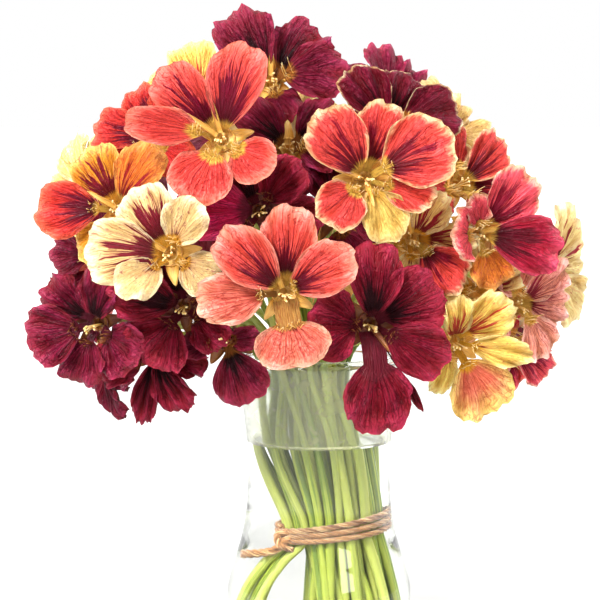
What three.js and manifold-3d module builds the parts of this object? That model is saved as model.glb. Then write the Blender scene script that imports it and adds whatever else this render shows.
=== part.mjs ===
// A hand-tied bouquet of nasturtium blooms in a waisted glass vase, part filled
// with water. Millimetres, +Z up, the origin at the centre of the vase's flat
// foot. The side of the bouquet that is dressed to be looked at faces -Y.
import * as THREE from "three";
import { mergeVertices } from "three/addons/utils/BufferGeometryUtils.js";
import Module from "manifold-3d";

const wasm = await Module();
wasm.setup();

// ---------------------------------------------------------------- dimensions

const GAP = 0.3; // clearance kept between pieces that touch
const PETAL_THICKNESS = 0.8;
const PETAL_CLEARANCE = 0.4; // room left round a petal by the ones behind it
const STEM_DIAMETER = 3.4;
const STEM_SIDES = 4;
const STEM_STEPS = 4;
const STEM_PITCH = STEM_DIAMETER * 1.02; // between neighbours in the tied bunch

const VASE = {
  wall: 2,
  floor: 6,
  // [height, radius] up the outside, from the foot to the rim
  outside: [
    [0, 30],
    [7, 36],
    [22, 38.8],
    [36, 35.4],
    [50, 31.8],
    [67, 30.1],
    [88, 30.8],
    [122.5, 35.2],
  ],
  corner: { height: 4, radius: 1.5 }, // of the inside, where the wall meets the floor
  waterline: 85.7,
  sides: 20,
};

// The bunch where the twine holds it: an ellipse of stems, right of centre.
const TIE = { x: 5.5, y: 0, z: 49, rx: 15.5, ry: 9.5, tilt: 0.15 };

// Where the stems pass the vase's rim: the height, how far left of the tie they
// lean, and how far they have spread from it across and in depth.
const NECK = { height: 123, shift: -5, spreadX: 1.78, spreadY: 2.7 };

// Where the flower heads spring from, and how wide they spread.
const DOME = { x: -8, y: -8, rx: 100, ry: 78 };

// -------------------------------------------------------------------- colours

const COLOUR = {
  glass: 0xdfe9e2,
  water: 0xe6f0e4,
  stem: 0xa9c46c,
  twine: 0xb07a46,
  crimson: 0x7d1230,
  claret: 0x5a1024,
  magenta: 0x9a2345,
  coral: 0xee6a5c,
  salmon: 0xf39a82,
  scarlet: 0xdf4148,
  cream: 0xf4e0a6,
  gold: 0xf0b040,
  yellow: 0xf6dc6a,
};

// -------------------------------------------------------------------- petals

// A petal is a claw that opens into a fan. "wide" is one of the two upper
// petals, which have hardly any claw; "clawed" is one of the lower three.
const PETAL_SHAPES = {
  wide: { claw: 0.1, halfClaw: 1.7, spread: 35, shoulder: 0.3, power: 3 },
  clawed: { claw: 0.2, halfClaw: 1.5, spread: 50, shoulder: 0.4, power: 2.8 },
};
const CLAW_RISE = 60; // degrees that a petal stands forward at its base
const RING = 3; // radius at which the petals leave the throat
const MIDRIB_STEPS = 24;
const EDGE_WAVES = [
  // [height as a share of the petal, waves across its half, share of its seed]
  [0.025, 3.1, 1],
  [0.012, 6.3, 2.1],
];
const RUFFLE = { height: 1.3, waves: 2.2, shift: 1.7 };
const CUP_SPAN = 0.55; // of a petal's length, over which its cup is measured
const LAYER_ROOT = 6; // a petal is clear of its neighbours from 1/6 of its length

// Rows of a petal from the throat outwards: [part, stations across].
const FULL_ROWS = [
  ["claw", [-1, 1]],
  [0, [-1, 1]],
  [0.52, [-1, 0, 1]],
  [1, [-1, -0.72, -0.26, 0.26, 0.72, 1]],
];
const PLAIN_ROWS = [
  ["claw", [-1, 1]],
  [0.3, [-1, 0, 1]],
  [1, [-1, -0.6, 0, 0.6, 1]],
];
const FAR_ROWS = [
  ["claw", [-1, 1]],
  [0.35, [-1, 1]],
  [1, [-1, -0.55, 0, 0.55, 1]],
];
const ROWS = { full: FULL_ROWS, plain: PLAIN_ROWS, far: FAR_ROWS };
// How far forward each petal lies, taken in turn round the bloom, so that
// neighbouring petals pass over and under each other.
const LAYERS = [0, 2, -2, 2, -2];

const radians = THREE.MathUtils.degToRad;

// One petal: a thin curved blade in the bloom's own axes, where x runs out
// from the throat, y across the petal and z the way that the bloom faces.
class PetalGeometry extends THREE.BufferGeometry {
  constructor(petal, thickness, grow, rows) {
    super();
    const shape = { ...PETAL_SHAPES[petal.shape], ...petal.outline };
    const claw = shape.claw * petal.length;
    const spread = radians(shape.spread);
    const neck = shape.halfClaw / Math.sin(spread);
    const fanAt = claw - neck * Math.cos(spread);
    const fan = petal.length - fanAt + grow;

    // the petal laid flat: distance along it and across it
    const flat = (part, t) => {
      if (part === "claw") return [0, (shape.halfClaw + grow) * t * petal.breadth];
      const wavy = ([size, waves, k]) => size * Math.sin(waves * Math.PI * t + k * petal.seed);
      const waves = EDGE_WAVES.reduce((sum, wave) => sum + wavy(wave), 0);
      const edge = fan * (1 - shape.shoulder * Math.abs(t) ** shape.power) * (1 + waves);
      const reach = neck + part * (edge - neck);
      const across = reach * Math.sin(spread * t) + grow * t;
      return [fanAt + reach * Math.cos(spread * t), across * petal.breadth];
    };

    // the midrib: how far out and forward it has gone, and its slope
    const slope = (a) => {
      const x = Math.min(a / petal.length, 1);
      return radians(petal.open + (CLAW_RISE - petal.open) * (1 - x) ** 3 - petal.curl * x * x);
    };
    const midrib = [[0, 0]];
    const d = petal.length / MIDRIB_STEPS;
    for (let i = 1; i <= MIDRIB_STEPS; i++) {
      const s = slope((i - 0.5) * d);
      const [r, h] = midrib[i - 1];
      midrib.push([r + d * Math.cos(s), h + d * Math.sin(s)]);
    }
    const along = (a) => {
      const x = Math.min(a, petal.length) / d;
      const i = Math.min(Math.floor(x), MIDRIB_STEPS - 1);
      const k = x - i;
      const over = Math.max(a - petal.length, 0);
      const s = slope(a);
      return [
        midrib[i][0] * (1 - k) + midrib[i + 1][0] * k + over * Math.cos(s),
        midrib[i][1] * (1 - k) + midrib[i + 1][1] * k + over * Math.sin(s),
        s,
      ];
    };

    // a point of the blade, `lift` in front of its middle surface
    const place = (part, t, lift) => {
      const [a, b] = flat(part, t);
      const [r, h, s] = along(a);
      const p = part === "claw" ? 0 : part;
      const turn = radians(petal.twist) * (a / petal.length);
      const wave = Math.sin(RUFFLE.waves * Math.PI * t + RUFFLE.shift * petal.seed);
      const ruffle = RUFFLE.height * petal.ruffle * p * p * wave;
      const sag = (petal.cup * b * b) / (CUP_SPAN * petal.length) + ruffle;
      const layer = petal.layer * Math.min(1, (LAYER_ROOT * a) / petal.length);
      const off = sag + b * Math.sin(turn) + lift + layer;
      return [RING + r - Math.sin(s) * off, b * Math.cos(turn), h + Math.cos(s) * off];
    };

    const positions = [];
    const sides = [thickness / 2 + grow, -thickness / 2 - grow].map((lift) =>
      rows.map(([part, stations]) =>
        stations.map((t) => {
          positions.push(...place(part, t, lift));
          return positions.length / 3 - 1;
        }),
      ),
    );
    const index = [];
    // joins two neighbouring rows, which may have different numbers of points
    const strip = (low, high, flip) => {
      const [m, n] = [low.length - 1, high.length - 1];
      let i = 0;
      let j = 0;
      while (i < m || j < n) {
        const stepHigh = i === m || (j < n && (j + 0.5) / n <= (i + 0.5) / m);
        const face = stepHigh ? [low[i], high[j], high[++j]] : [low[i], high[j], low[++i]];
        index.push(...(flip ? face.reverse() : face));
      }
    };
    const [front, back] = sides;
    for (let i = 0; i + 1 < rows.length; i++) {
      strip(front[i], front[i + 1], false);
      strip(back[i], back[i + 1], true);
    }
    // the rim, once round the outline
    const outline = (side) => [
      ...side.map((row) => row[0]),
      ...side.at(-1).slice(1, -1),
      ...side.map((row) => row.at(-1)).reverse(),
    ];
    const [a, b] = [outline(front), outline(back)];
    a.forEach((_, i) => {
      const k = (i + 1) % a.length;
      index.push(b[i], b[k], a[k], b[i], a[k], a[i]);
    });
    this.setAttribute("position", new THREE.Float32BufferAttribute(positions, 3));
    this.setIndex(index);
  }
}

// The bloom table's shorthand for a petal. The bearing is clockwise from
// straight up, seen from in front of the bloom; open is the angle that the
// blade stands forward of flat; curl rolls its end back.
const petal = (shape, bearing, length, open, extra = {}) => ({
  shape,
  bearing,
  length,
  open,
  breadth: 1,
  curl: 14,
  cup: 0.25,
  twist: 0,
  ruffle: 0.5,
  seed: ((bearing * 7.3 + length * 3.1) % 6.2) + 0.1,
  ...extra,
});
const wide = (...of) => petal("wide", ...of);
const clawed = (...of) => petal("clawed", ...of);

// -------------------------------------------------------------------- blooms

// The five petals of a bloom that isn't arranged one by one, for a bloom whose
// upper pair leans `lean` clockwise and whose petals are about `size` long.
const fivePetals = (lean, size, open = 16, seed = 0) => [
  wide(lean - 28, size * 1.04, open + 2 * Math.sin(seed)),
  wide(lean + 28, size, open + 3 * Math.cos(seed)),
  clawed(lean + 96, size, open - 4, { ruffle: 0.8 }),
  clawed(lean - 96, size * 0.98, open - 3 + 2 * Math.sin(2 * seed), { ruffle: 0.8 }),
  clawed(lean + 178, size * 0.96, open - 8, { ruffle: 0.8 }),
];

// Each bloom: its throat, the way it faces (degrees to the right of the
// viewer, degrees up), the lean of its upper pair, and its petals. Blooms come
// in the order in which they keep their shape where they crowd each other.
const BLOOMS = [
  {
    name: "coral_heart",
    colour: COLOUR.coral,
    at: [-14, -84, 155],
    face: [0, 8],
    lean: -22,
    detail: "full",
    sepals: [-22],
    stamens: [-60, 60, 170],
    petals: [
      wide(-48, 34, 20, { breadth: 0.82, cup: 0.5 }),
      wide(5, 34, 24, { breadth: 0.86, cup: 0.35 }),
      wide(62, 32, 26, { breadth: 0.86, cup: 0.4 }),
      clawed(-97, 34, 14, { breadth: 0.75, cup: 0.3 }),
      clawed(171, 28, 6, { breadth: 1.15 }),
    ],
  },
  {
    name: "cream_splash",
    colour: COLOUR.cream,
    at: [-58, -70, 169],
    face: [-14, 10],
    lean: -58,
    detail: "full",
    sepals: [-58],
    stamens: [20, -150],
    petals: [
      wide(-28, 28, 14, { breadth: 1.1 }),
      wide(-92, 31, 14, { breadth: 1.15 }),
      clawed(36, 25, 26, { breadth: 0.9, twist: 20 }),
      clawed(-142, 27, 50, { breadth: 0.8, curl: 30 }),
      clawed(120, 22, -8),
    ],
  },
  {
    name: "crimson_front",
    colour: COLOUR.crimson,
    at: [19, -73, 142],
    face: [8, 2],
    lean: 30,
    detail: "full",
    sepals: [148],
    petals: [
      wide(2, 31, -2, { breadth: 0.95 }),
      wide(60, 30, 12, { breadth: 1.25 }),
      clawed(118, 32, 4, { breadth: 0.85 }),
      clawed(-88, 26, 22, { breadth: 1.35, cup: 0.3 }),
      clawed(176, 44, 4, { breadth: 0.92, outline: { claw: 0.42, halfClaw: 4.2 } }),
    ],
  },
  {
    name: "coral_crown",
    colour: COLOUR.coral,
    at: [-38, -62, 213],
    face: [-8, 16],
    lean: -12,
    detail: "full",
    sepals: [-12, -60],
    stamens: [-40, 80, 170],
    petals: [
      wide(-44, 36, 16, { breadth: 0.8, cup: 0.45 }),
      wide(19, 37, 18, { breadth: 0.86, cup: 0.45 }),
      clawed(-86, 38, 22, { breadth: 0.5, twist: -25 }),
      clawed(-160, 29, 12, { breadth: 1.1 }),
      clawed(128, 27, 26, { breadth: 0.9 }),
    ],
  },
  {
    name: "coral_cream",
    colour: COLOUR.coral,
    at: [17, -68, 198],
    face: [6, 12],
    lean: -13,
    detail: "full",
    sepals: [-82, 170],
    petals: [
      wide(-41, 31, 18, { breadth: 1.05 }),
      wide(16, 30, 18, { breadth: 0.85 }),
      clawed(68, 36, 14, { breadth: 1.0 }),
      clawed(112, 28, 24, { breadth: 0.7 }),
      clawed(-138, 26, 20, { breadth: 0.95 }),
    ],
  },
  {
    name: "yellow_fall",
    colour: COLOUR.yellow,
    at: [52, -60, 134],
    face: [16, -4],
    lean: 20,
    detail: "full",
    sepals: [-60],
    petals: [
      wide(46, 27, 30, { breadth: 0.95, cup: 0.3 }),
      wide(-12, 24, 40, { breadth: 0.7 }),
      clawed(98, 30, 30, { breadth: 0.55, twist: 30 }),
      clawed(152, 33, 4, { breadth: 1.05 }),
      clawed(-152, 21, 20, { breadth: 0.6 }),
    ],
  },
  {
    name: "ruby_right",
    colour: COLOUR.scarlet,
    at: [62, -52, 176],
    face: [20, 4],
    lean: 74,
    detail: "full",
    sepals: [74],
    petals: [
      wide(41, 31, 12, { breadth: 0.98 }),
      wide(106, 32, 14),
      clawed(-92, 24, 55, { breadth: 1.1 }),
      clawed(-24, 18, 40, { breadth: 0.7 }),
      clawed(165, 22, 10),
    ],
  },
  {
    name: "gold_left",
    colour: COLOUR.gold,
    at: [-79, -48, 185],
    face: [-20, 12],
    lean: -62,
    detail: "full",
    sepals: [-62],
    petals: [
      wide(-30, 27, 14, { breadth: 1.1 }),
      wide(38, 30, 10, { breadth: 0.9 }),
      clawed(-96, 32, 10, { breadth: 0.9 }),
      clawed(-160, 24, 8),
      clawed(120, 22, 0),
    ],
  },
  {
    name: "claret_top",
    colour: COLOUR.claret,
    at: [-20, -22, 236],
    face: [-4, 26],
    lean: 6,
    detail: "full",
    sepals: [4],
    petals: [
      wide(-33, 31, 6, { breadth: 1.1 }),
      wide(42, 30, -2, { breadth: 1.15, ruffle: 1.2 }),
      clawed(92, 31, 6, { ruffle: 1.2 }),
      clawed(-104, 23, 10),
      clawed(160, 22, 20),
    ],
  },
  {
    name: "plum_low_left",
    colour: COLOUR.magenta,
    at: [-89, -42, 139],
    face: [-24, 0],
    lean: -10,
    detail: "full",
    petals: [
      wide(22, 25, 12),
      wide(-52, 26, 14),
      clawed(-104, 27, 16, { breadth: 1.15 }),
      clawed(-165, 24, 8),
      clawed(125, 24, 10),
    ],
  },
  {
    name: "cream_crumple",
    colour: COLOUR.cream,
    at: [36, -54, 174],
    face: [14, 0],
    lean: 40,
    detail: "full",
    sepals: [-20],
    petals: [
      wide(24, 21, 22),
      wide(92, 24, 30, { breadth: 0.8 }),
      clawed(142, 26, 18, { ruffle: 1.8 }),
      clawed(-164, 24, 24, { breadth: 0.8, ruffle: 1.8 }),
    ],
  },
  {
    name: "cream_streak",
    colour: COLOUR.cream,
    at: [62, -42, 150],
    face: [22, 4],
    lean: 10,
    petals: [wide(2, 26, 14, { breadth: 0.75 }), wide(50, 21, 16), clawed(-70, 21, 10)],
  },
  {
    name: "claret_low",
    colour: COLOUR.crimson,
    at: [-54, -50, 147],
    face: [-10, -4],
    lean: 0,
    petals: [
      wide(-66, 29, 14, { breadth: 1.1 }),
      wide(-8, 24, 2),
      clawed(62, 26, 4),
      clawed(130, 22, 6),
      clawed(-146, 26, 8),
    ],
  },
  {
    name: "lone_claret",
    colour: COLOUR.claret,
    at: [-38, -48, 134],
    face: [-8, -8],
    lean: 170,
    petals: [
      wide(158, 27, 12, { breadth: 1.15, cup: -0.3 }),
      clawed(-100, 17, 20, { breadth: 0.8 }),
      clawed(80, 15, 20, { breadth: 0.8 }),
    ],
  },
  {
    name: "claret_mid",
    colour: COLOUR.claret,
    at: [-13, -40, 209],
    face: [0, 20],
    lean: 8,
    petals: [
      wide(-52, 24, 18),
      wide(52, 25, 14),
      clawed(104, 22, 8),
      clawed(-118, 21, 8),
      clawed(176, 22, 6),
    ],
  },
  {
    name: "velvet_mid",
    colour: COLOUR.crimson,
    at: [-24, -56, 185],
    face: [-4, 6],
    lean: -30,
    petals: [
      wide(-88, 30, 8, { breadth: 1.15 }),
      wide(-24, 20, 0),
      clawed(40, 24, 8),
      clawed(104, 25, -4),
      clawed(-150, 24, -4),
    ],
  },
  {
    name: "velvet_shade",
    colour: COLOUR.claret,
    at: [6, -42, 184],
    face: [2, 4],
    lean: 20,
    petals: [
      wide(-20, 24, -4),
      wide(40, 25, -6),
      clawed(100, 24, -6),
      clawed(165, 26, -6),
      clawed(-110, 25, -8),
    ],
  },
  {
    name: "plum_fold",
    colour: COLOUR.claret,
    at: [26, -34, 216],
    face: [14, 18],
    lean: 6,
    detail: "full",
    petals: [
      wide(-34, 27, 14, { curl: 34 }),
      wide(26, 27, 10, { curl: 38 }),
      clawed(76, 30, 2, { curl: 20 }),
      clawed(130, 20, -2),
      clawed(-118, 20, 0),
    ],
  },
  {
    name: "magenta_tip",
    colour: COLOUR.magenta,
    at: [27, -8, 228],
    face: [24, 40],
    lean: 20,
    petals: fivePetals(30, 22, 16, 5),
  },
  {
    name: "coral_side",
    colour: COLOUR.coral,
    at: [56, -28, 194],
    face: [36, 16],
    lean: 60,
    petals: fivePetals(74, 24, 16, 2),
  },
  {
    name: "scarlet_left",
    colour: COLOUR.scarlet,
    at: [-66, -30, 212],
    face: [-32, 22],
    lean: -40,
    petals: fivePetals(-58, 24, 16, 4),
  },
  {
    name: "yellow_back",
    colour: COLOUR.yellow,
    at: [-48, -8, 226],
    face: [-22, 46],
    lean: 10,
    petals: fivePetals(6, 27, 20, 6),
  },
  {
    name: "plum_left",
    colour: COLOUR.magenta,
    at: [-86, -28, 166],
    face: [-40, 4],
    lean: 160,
    petals: fivePetals(170, 24, 14, 7),
  },
  {
    name: "claret_hang",
    colour: COLOUR.crimson,
    at: [-66, -38, 128],
    face: [-14, -22],
    lean: 180,
    petals: [
      wide(150, 25, 10, { breadth: 0.9 }),
      wide(-166, 30, 12, { breadth: 0.5 }),
      clawed(-95, 24, 16),
      clawed(95, 22, 12, { breadth: 0.95 }),
    ],
  },
  {
    name: "salmon_right",
    colour: COLOUR.salmon,
    at: [80, -28, 146],
    face: [34, -2],
    lean: 60,
    petals: fivePetals(64, 23, 14, 8),
  },
  {
    name: "rose_low_right",
    colour: COLOUR.scarlet,
    at: [78, -14, 128],
    face: [40, -18],
    lean: 150,
    petals: fivePetals(150, 21, 14, 9),
  },
  {
    name: "cream_right",
    colour: COLOUR.cream,
    at: [91, -4, 158],
    face: [52, -2],
    lean: 40,
    detail: "far",
    petals: fivePetals(40, 28, 12, 10),
  },
  {
    name: "pale_left",
    colour: COLOUR.yellow,
    at: [-94, 0, 190],
    face: [-56, 22],
    lean: 0,
    petals: fivePetals(-10, 26, 14, 11),
  },
  {
    name: "apricot_curl",
    colour: COLOUR.salmon,
    at: [50, -8, 212],
    face: [44, 30],
    lean: 20,
    detail: "far",
    petals: fivePetals(10, 23, 14, 12),
  },
  {
    name: "crimson_under_left",
    colour: COLOUR.magenta,
    at: [-86, -10, 122],
    face: [-56, -22],
    lean: 200,
    petals: fivePetals(190, 23, 12, 13),
  },
  // the far side
  {
    name: "coral_back_left",
    colour: COLOUR.coral,
    at: [-84, 32, 160],
    face: [-116, 8],
    lean: -10,
    detail: "far",
    spur: true,
    petals: fivePetals(-10, 30, 16, 14),
  },
  {
    name: "crimson_back_low",
    colour: COLOUR.crimson,
    at: [-46, 56, 146],
    face: [-154, 2],
    lean: 14,
    detail: "far",
    petals: fivePetals(14, 31, 16, 15),
  },
  {
    name: "gold_back_low",
    colour: COLOUR.gold,
    at: [4, 62, 150],
    face: [178, 4],
    lean: -16,
    detail: "far",
    petals: fivePetals(-16, 31, 16, 16),
  },
  {
    name: "coral_back_right",
    colour: COLOUR.coral,
    at: [54, 50, 146],
    face: [146, 2],
    lean: 10,
    detail: "far",
    petals: fivePetals(10, 31, 16, 17),
  },
  {
    name: "claret_back_right",
    colour: COLOUR.claret,
    at: [83, 24, 148],
    face: [108, 2],
    lean: -8,
    detail: "far",
    petals: fivePetals(-8, 29, 16, 18),
  },
  {
    name: "cream_back_high",
    colour: COLOUR.cream,
    at: [-16, 40, 204],
    face: [-172, 34],
    lean: -10,
    detail: "far",
    petals: fivePetals(-10, 31, 16, 19),
  },
  {
    name: "crimson_back_high",
    colour: COLOUR.crimson,
    at: [34, 32, 200],
    face: [140, 32],
    lean: 12,
    detail: "far",
    petals: fivePetals(12, 30, 16, 20),
  },
  {
    name: "magenta_back_high",
    colour: COLOUR.magenta,
    at: [-62, 28, 202],
    face: [-130, 32],
    lean: 0,
    detail: "far",
    petals: fivePetals(0, 30, 16, 21),
  },
];

// ------------------------------------------------------------ solids, booleans

const solidOf = (geometry) => {
  const bare = new THREE.BufferGeometry().setAttribute("position", geometry.getAttribute("position"));
  const merged = mergeVertices(bare.setIndex(geometry.getIndex()), 1e-4);
  return new wasm.Manifold(
    new wasm.Mesh({
      numProp: 3,
      vertProperties: merged.attributes.position.array,
      triVerts: new Uint32Array(merged.index.array),
    }),
  );
};

const geometryOf = (solid) => {
  const mesh = solid.getMesh();
  const geometry = new THREE.BufferGeometry();
  geometry.setAttribute("position", new THREE.BufferAttribute(mesh.vertProperties.slice(), 3));
  geometry.setIndex(new THREE.BufferAttribute(mesh.triVerts.slice(), 1));
  const flat = geometry.toNonIndexed();
  flat.computeVertexNormals();
  return flat;
};

const joined = (solids) => wasm.Manifold.union(solids);

// Only the biggest body of a solid that a cut has left in bits.
const biggest = (solid) => {
  const bodies = solid.decompose();
  return bodies.reduce((best, body) => (body.volume() > best.volume() ? body : best), bodies[0]);
};

const near = (a, b) => {
  const [p, q] = [a.boundingBox(), b.boundingBox()];
  return [0, 1, 2].every((i) => p.min[i] <= q.max[i] && q.min[i] <= p.max[i]);
};

// ----------------------------------------------------------------- placement

const V = (...xyz) => new THREE.Vector3(...xyz);

// The axes of something that faces `right` and `up` degrees from the viewer's
// direction: x to the viewer's right, y up, z the way it faces.
const axesOf = ([right, up]) => {
  const [a, e] = [radians(right), radians(up)];
  const facing = V(Math.sin(a) * Math.cos(e), -Math.cos(a) * Math.cos(e), Math.sin(e));
  const above = V(-Math.sin(a) * Math.sin(e), Math.cos(a) * Math.sin(e), Math.cos(e));
  return { facing, above, across: above.clone().cross(facing) };
};

// The placing of a petal, sepal or spur that leaves the throat on a bearing.
const onBearing = (at, axes, bearing) => {
  const b = radians(bearing);
  const out = axes.above.clone().multiplyScalar(Math.cos(b)).addScaledVector(axes.across, Math.sin(b));
  const side = axes.facing.clone().cross(out);
  return new THREE.Matrix4().makeBasis(out, side, axes.facing).setPosition(...at);
};

// ------------------------------------------------------------------ the pieces

// The cup behind the petals, and on some blooms the spur, the sepals that show
// between the petals, and a few stamens.
const CUP = { depth: 6, back: 3, mouth: 5, lip: 0.4, sides: 5, turn: 0.3 * Math.PI };
const SPUR = { length: 24, radius: 1.7, sides: 4, root: 3.2, rise: 6, droop: 8, overlap: 2 };
const SEPAL = { length: 15, width: 4.4, flatness: 0.32, rise: 38, root: 2.2, depth: 1.6 };
const STAMEN = { length: 13, radius: 0.75, lean: 14, root: 0.6 };

const heartSolids = (bloom, axes, grow) => {
  const place = (geometry, turn) => solidOf(geometry.applyMatrix4(onBearing(bloom.at, axes, turn)));
  const outline = [
    [0, -CUP.depth],
    [CUP.back + grow, -CUP.depth],
    [CUP.mouth + grow, CUP.lip + grow],
    [0, CUP.lip + grow],
  ].map(([r, z]) => new THREE.Vector2(r, z));
  const cup = new THREE.LatheGeometry(outline, CUP.sides, CUP.turn).rotateX(Math.PI / 2);
  const parts = [place(cup, bloom.lean)];
  if (bloom.spur) {
    // it sweeps back from the upper side of the cup and droops to its tip
    const spur = new THREE.ConeGeometry(SPUR.radius + grow, SPUR.length, SPUR.sides, 2)
      .translate(0, SPUR.length / 2, 0)
      .rotateX(-Math.PI / 2);
    const spots = spur.attributes.position;
    for (let i = 0; i < spots.count; i++) {
      const back = -spots.getZ(i) / SPUR.length;
      spots.setX(i, spots.getX(i) + SPUR.root + SPUR.rise * back - SPUR.droop * back * back);
    }
    parts.push(place(spur.translate(0, 0, -SPUR.overlap), bloom.lean));
  }
  for (const turn of bloom.sepals ?? []) {
    const sepal = new THREE.ConeGeometry(SEPAL.width / 2 + grow, SEPAL.length, 3, 1)
      .rotateY(Math.PI)
      .scale(1, 1, SEPAL.flatness)
      .translate(0, SEPAL.length / 2, 0)
      .rotateZ(-Math.PI / 2)
      .rotateX(Math.PI / 2)
      .rotateY(-radians(SEPAL.rise))
      .translate(SEPAL.root, 0, -SEPAL.depth);
    parts.push(place(sepal, turn));
  }
  for (const turn of bloom.stamens ?? []) {
    const stamen = new THREE.ConeGeometry(STAMEN.radius + grow, STAMEN.length, 3, 1)
      .translate(0, STAMEN.length / 2, 0)
      .rotateX(Math.PI / 2)
      .rotateY(radians(STAMEN.lean))
      .translate(STAMEN.root, 0, 0);
    parts.push(place(stamen, turn));
  }
  return parts;
};

// A whole bloom, or with `grow` the room that its neighbours leave for it.
const bloomSolid = (bloom, grow) => {
  const axes = axesOf(bloom.face);
  const rows = ROWS[bloom.detail ?? "plain"];
  const around = [...bloom.petals].sort((a, b) => a.bearing - b.bearing);
  const petals = around.map((p, i) => {
    const blade = new PetalGeometry({ ...p, layer: LAYERS[i] }, PETAL_THICKNESS, grow, rows);
    return solidOf(blade.applyMatrix4(onBearing(bloom.at, axes, p.bearing)));
  });
  return joined([...petals, ...heartSolids(bloom, axes, grow)]);
};

// Places in the tied bunch, close packed from the middle outwards.
const bunchPlaces = (count) => {
  const rows = Math.ceil((2 * TIE.rx) / STEM_PITCH); // more than enough each way
  const places = [];
  for (let row = -rows; row <= rows; row++)
    for (let column = -rows; column <= rows; column++) {
      const x = (column + (row % 2 ? 0.5 : 0)) * STEM_PITCH;
      const y = row * STEM_PITCH * Math.sqrt(0.75);
      places.push([x, y, Math.hypot(x / TIE.rx, y / TIE.ry)]);
    }
  return places.sort((a, b) => a[2] - b[2]).slice(0, count);
};

const STEM_RUN = 20; // how far behind its bloom a stem is sure to be
const DEPTH_WEIGHT = 1.5; // front and back matter more than left and right
const BARELY = 1e-6;

// Gives every bloom a place in the bunch, as nearly the way that the bloom
// lies from the middle of the bouquet as can be, so that the stems don't cross.
const assignPlaces = (blooms) => {
  const free = bunchPlaces(blooms.length);
  const wanted = blooms.map((bloom) => {
    const axes = axesOf(bloom.face);
    const x = (bloom.at[0] - axes.facing.x * STEM_RUN - DOME.x) / DOME.rx;
    const y = (bloom.at[1] - axes.facing.y * STEM_RUN - DOME.y) / DOME.ry;
    return { x: x * TIE.rx, y: y * TIE.ry, place: null, bloom };
  });
  const cost = (want, place) => (place[0] - want.x) ** 2 + (DEPTH_WEIGHT * (place[1] - want.y)) ** 2;
  for (const want of [...wanted].sort((a, b) => Math.hypot(b.x, b.y) - Math.hypot(a.x, a.y))) {
    free.sort((a, b) => cost(want, a) - cost(want, b));
    want.place = free.shift();
  }
  for (let better = true; better; ) {
    better = false;
    for (const a of wanted)
      for (const b of wanted)
        if (cost(a, b.place) + cost(b, a.place) < cost(a, a.place) + cost(b, b.place) - BARELY) {
          [a.place, b.place] = [b.place, a.place];
          better = true;
        }
  }
  return new Map(wanted.map(({ bloom, place }) => [bloom, place]));
};

const insideRadius = (z) => {
  const line = VASE.outside;
  for (let i = 1; i < line.length; i++)
    if (z <= line[i][0]) {
      const k = (z - line[i - 1][0]) / (line[i][0] - line[i - 1][0]);
      return line[i - 1][1] * (1 - k) + line[i][1] * k - VASE.wall;
    }
  return line.at(-1)[1] - VASE.wall;
};

const STEM_START = 3; // where the free run starts, above the middle of the tie
const STEM_BEND = 16; // length of the straight top of a stem, behind its bloom

// The free run of one stem, from the tie, where it is one with the bunch, to
// the back of its bloom's cup.
const stemCurve = (bloom, [tx, ty]) => {
  const axes = axesOf(bloom.face);
  const end = V(...bloom.at).addScaledVector(axes.facing, -CUP.depth - GAP);
  const bend = end.clone().addScaledVector(axes.facing, -STEM_BEND);
  const tie = V(TIE.x + tx, TIE.y + ty, TIE.z + STEM_START + tx * TIE.tilt);
  const neck = V(TIE.x + NECK.shift + tx * NECK.spreadX, ty * NECK.spreadY, NECK.height);
  return new THREE.CatmullRomCurve3([tie, neck, bend, end], false, "centripetal");
};

const round = (radius, sides) =>
  new THREE.Shape(
    [...Array(sides)].map((_, i) => {
      const a = (i * 2 * Math.PI) / sides;
      return new THREE.Vector2(radius * Math.cos(a), radius * Math.sin(a));
    }),
  );

const tube = (curve, diameter, sides, steps) => {
  const path = { steps, extrudePath: curve, bevelEnabled: false, curveSegments: 1 };
  return solidOf(new THREE.ExtrudeGeometry(round(diameter / 2, sides), path));
};

const stemSolids = (places, grow) =>
  BLOOMS.map((bloom) =>
    tube(stemCurve(bloom, places.get(bloom)), STEM_DIAMETER + 2 * grow, STEM_SIDES, STEM_STEPS),
  );

// The packed stems from the floor of the vase up through the tie: a bunch
// fluted by its outermost stems, spreading a little towards the cut ends, which
// stand on the floor of the vase.
const BUNCH = {
  flutes: 18,
  groove: 0.09,
  // [height, how far the stems have spread from the tie, shift to the right]
  levels: [
    [VASE.floor + GAP, 1.45, -5],
    [TIE.z - 8, 1, 0],
    [TIE.z + 7, 1, 0],
  ],
};

const bunchSolid = () => {
  const { flutes, groove, levels } = BUNCH;
  const geometry = new THREE.CylinderGeometry(1, 1, 1, flutes * 2, levels.length - 1).rotateX(Math.PI / 2);
  const spots = geometry.attributes.position;
  for (let i = 0; i < spots.count; i++) {
    const [x, y] = [spots.getX(i), spots.getY(i)];
    const [height, spread, shift] = levels[Math.round((spots.getZ(i) + 0.5) * (levels.length - 1))];
    const crest = 1 - (Math.round((Math.atan2(y, x) / Math.PI) * flutes) % 2 ? groove : 0);
    const ex = x * crest * (TIE.rx + STEM_DIAMETER / 2) * spread;
    const ey = y * crest * (TIE.ry + STEM_DIAMETER / 2) * spread;
    const slope = height > levels[0][0] ? TIE.tilt : 0; // the cut ends stand level
    spots.setXYZ(i, TIE.x + shift + ex, TIE.y + ey, height + ex * slope);
  }
  return solidOf(geometry);
};

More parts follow.
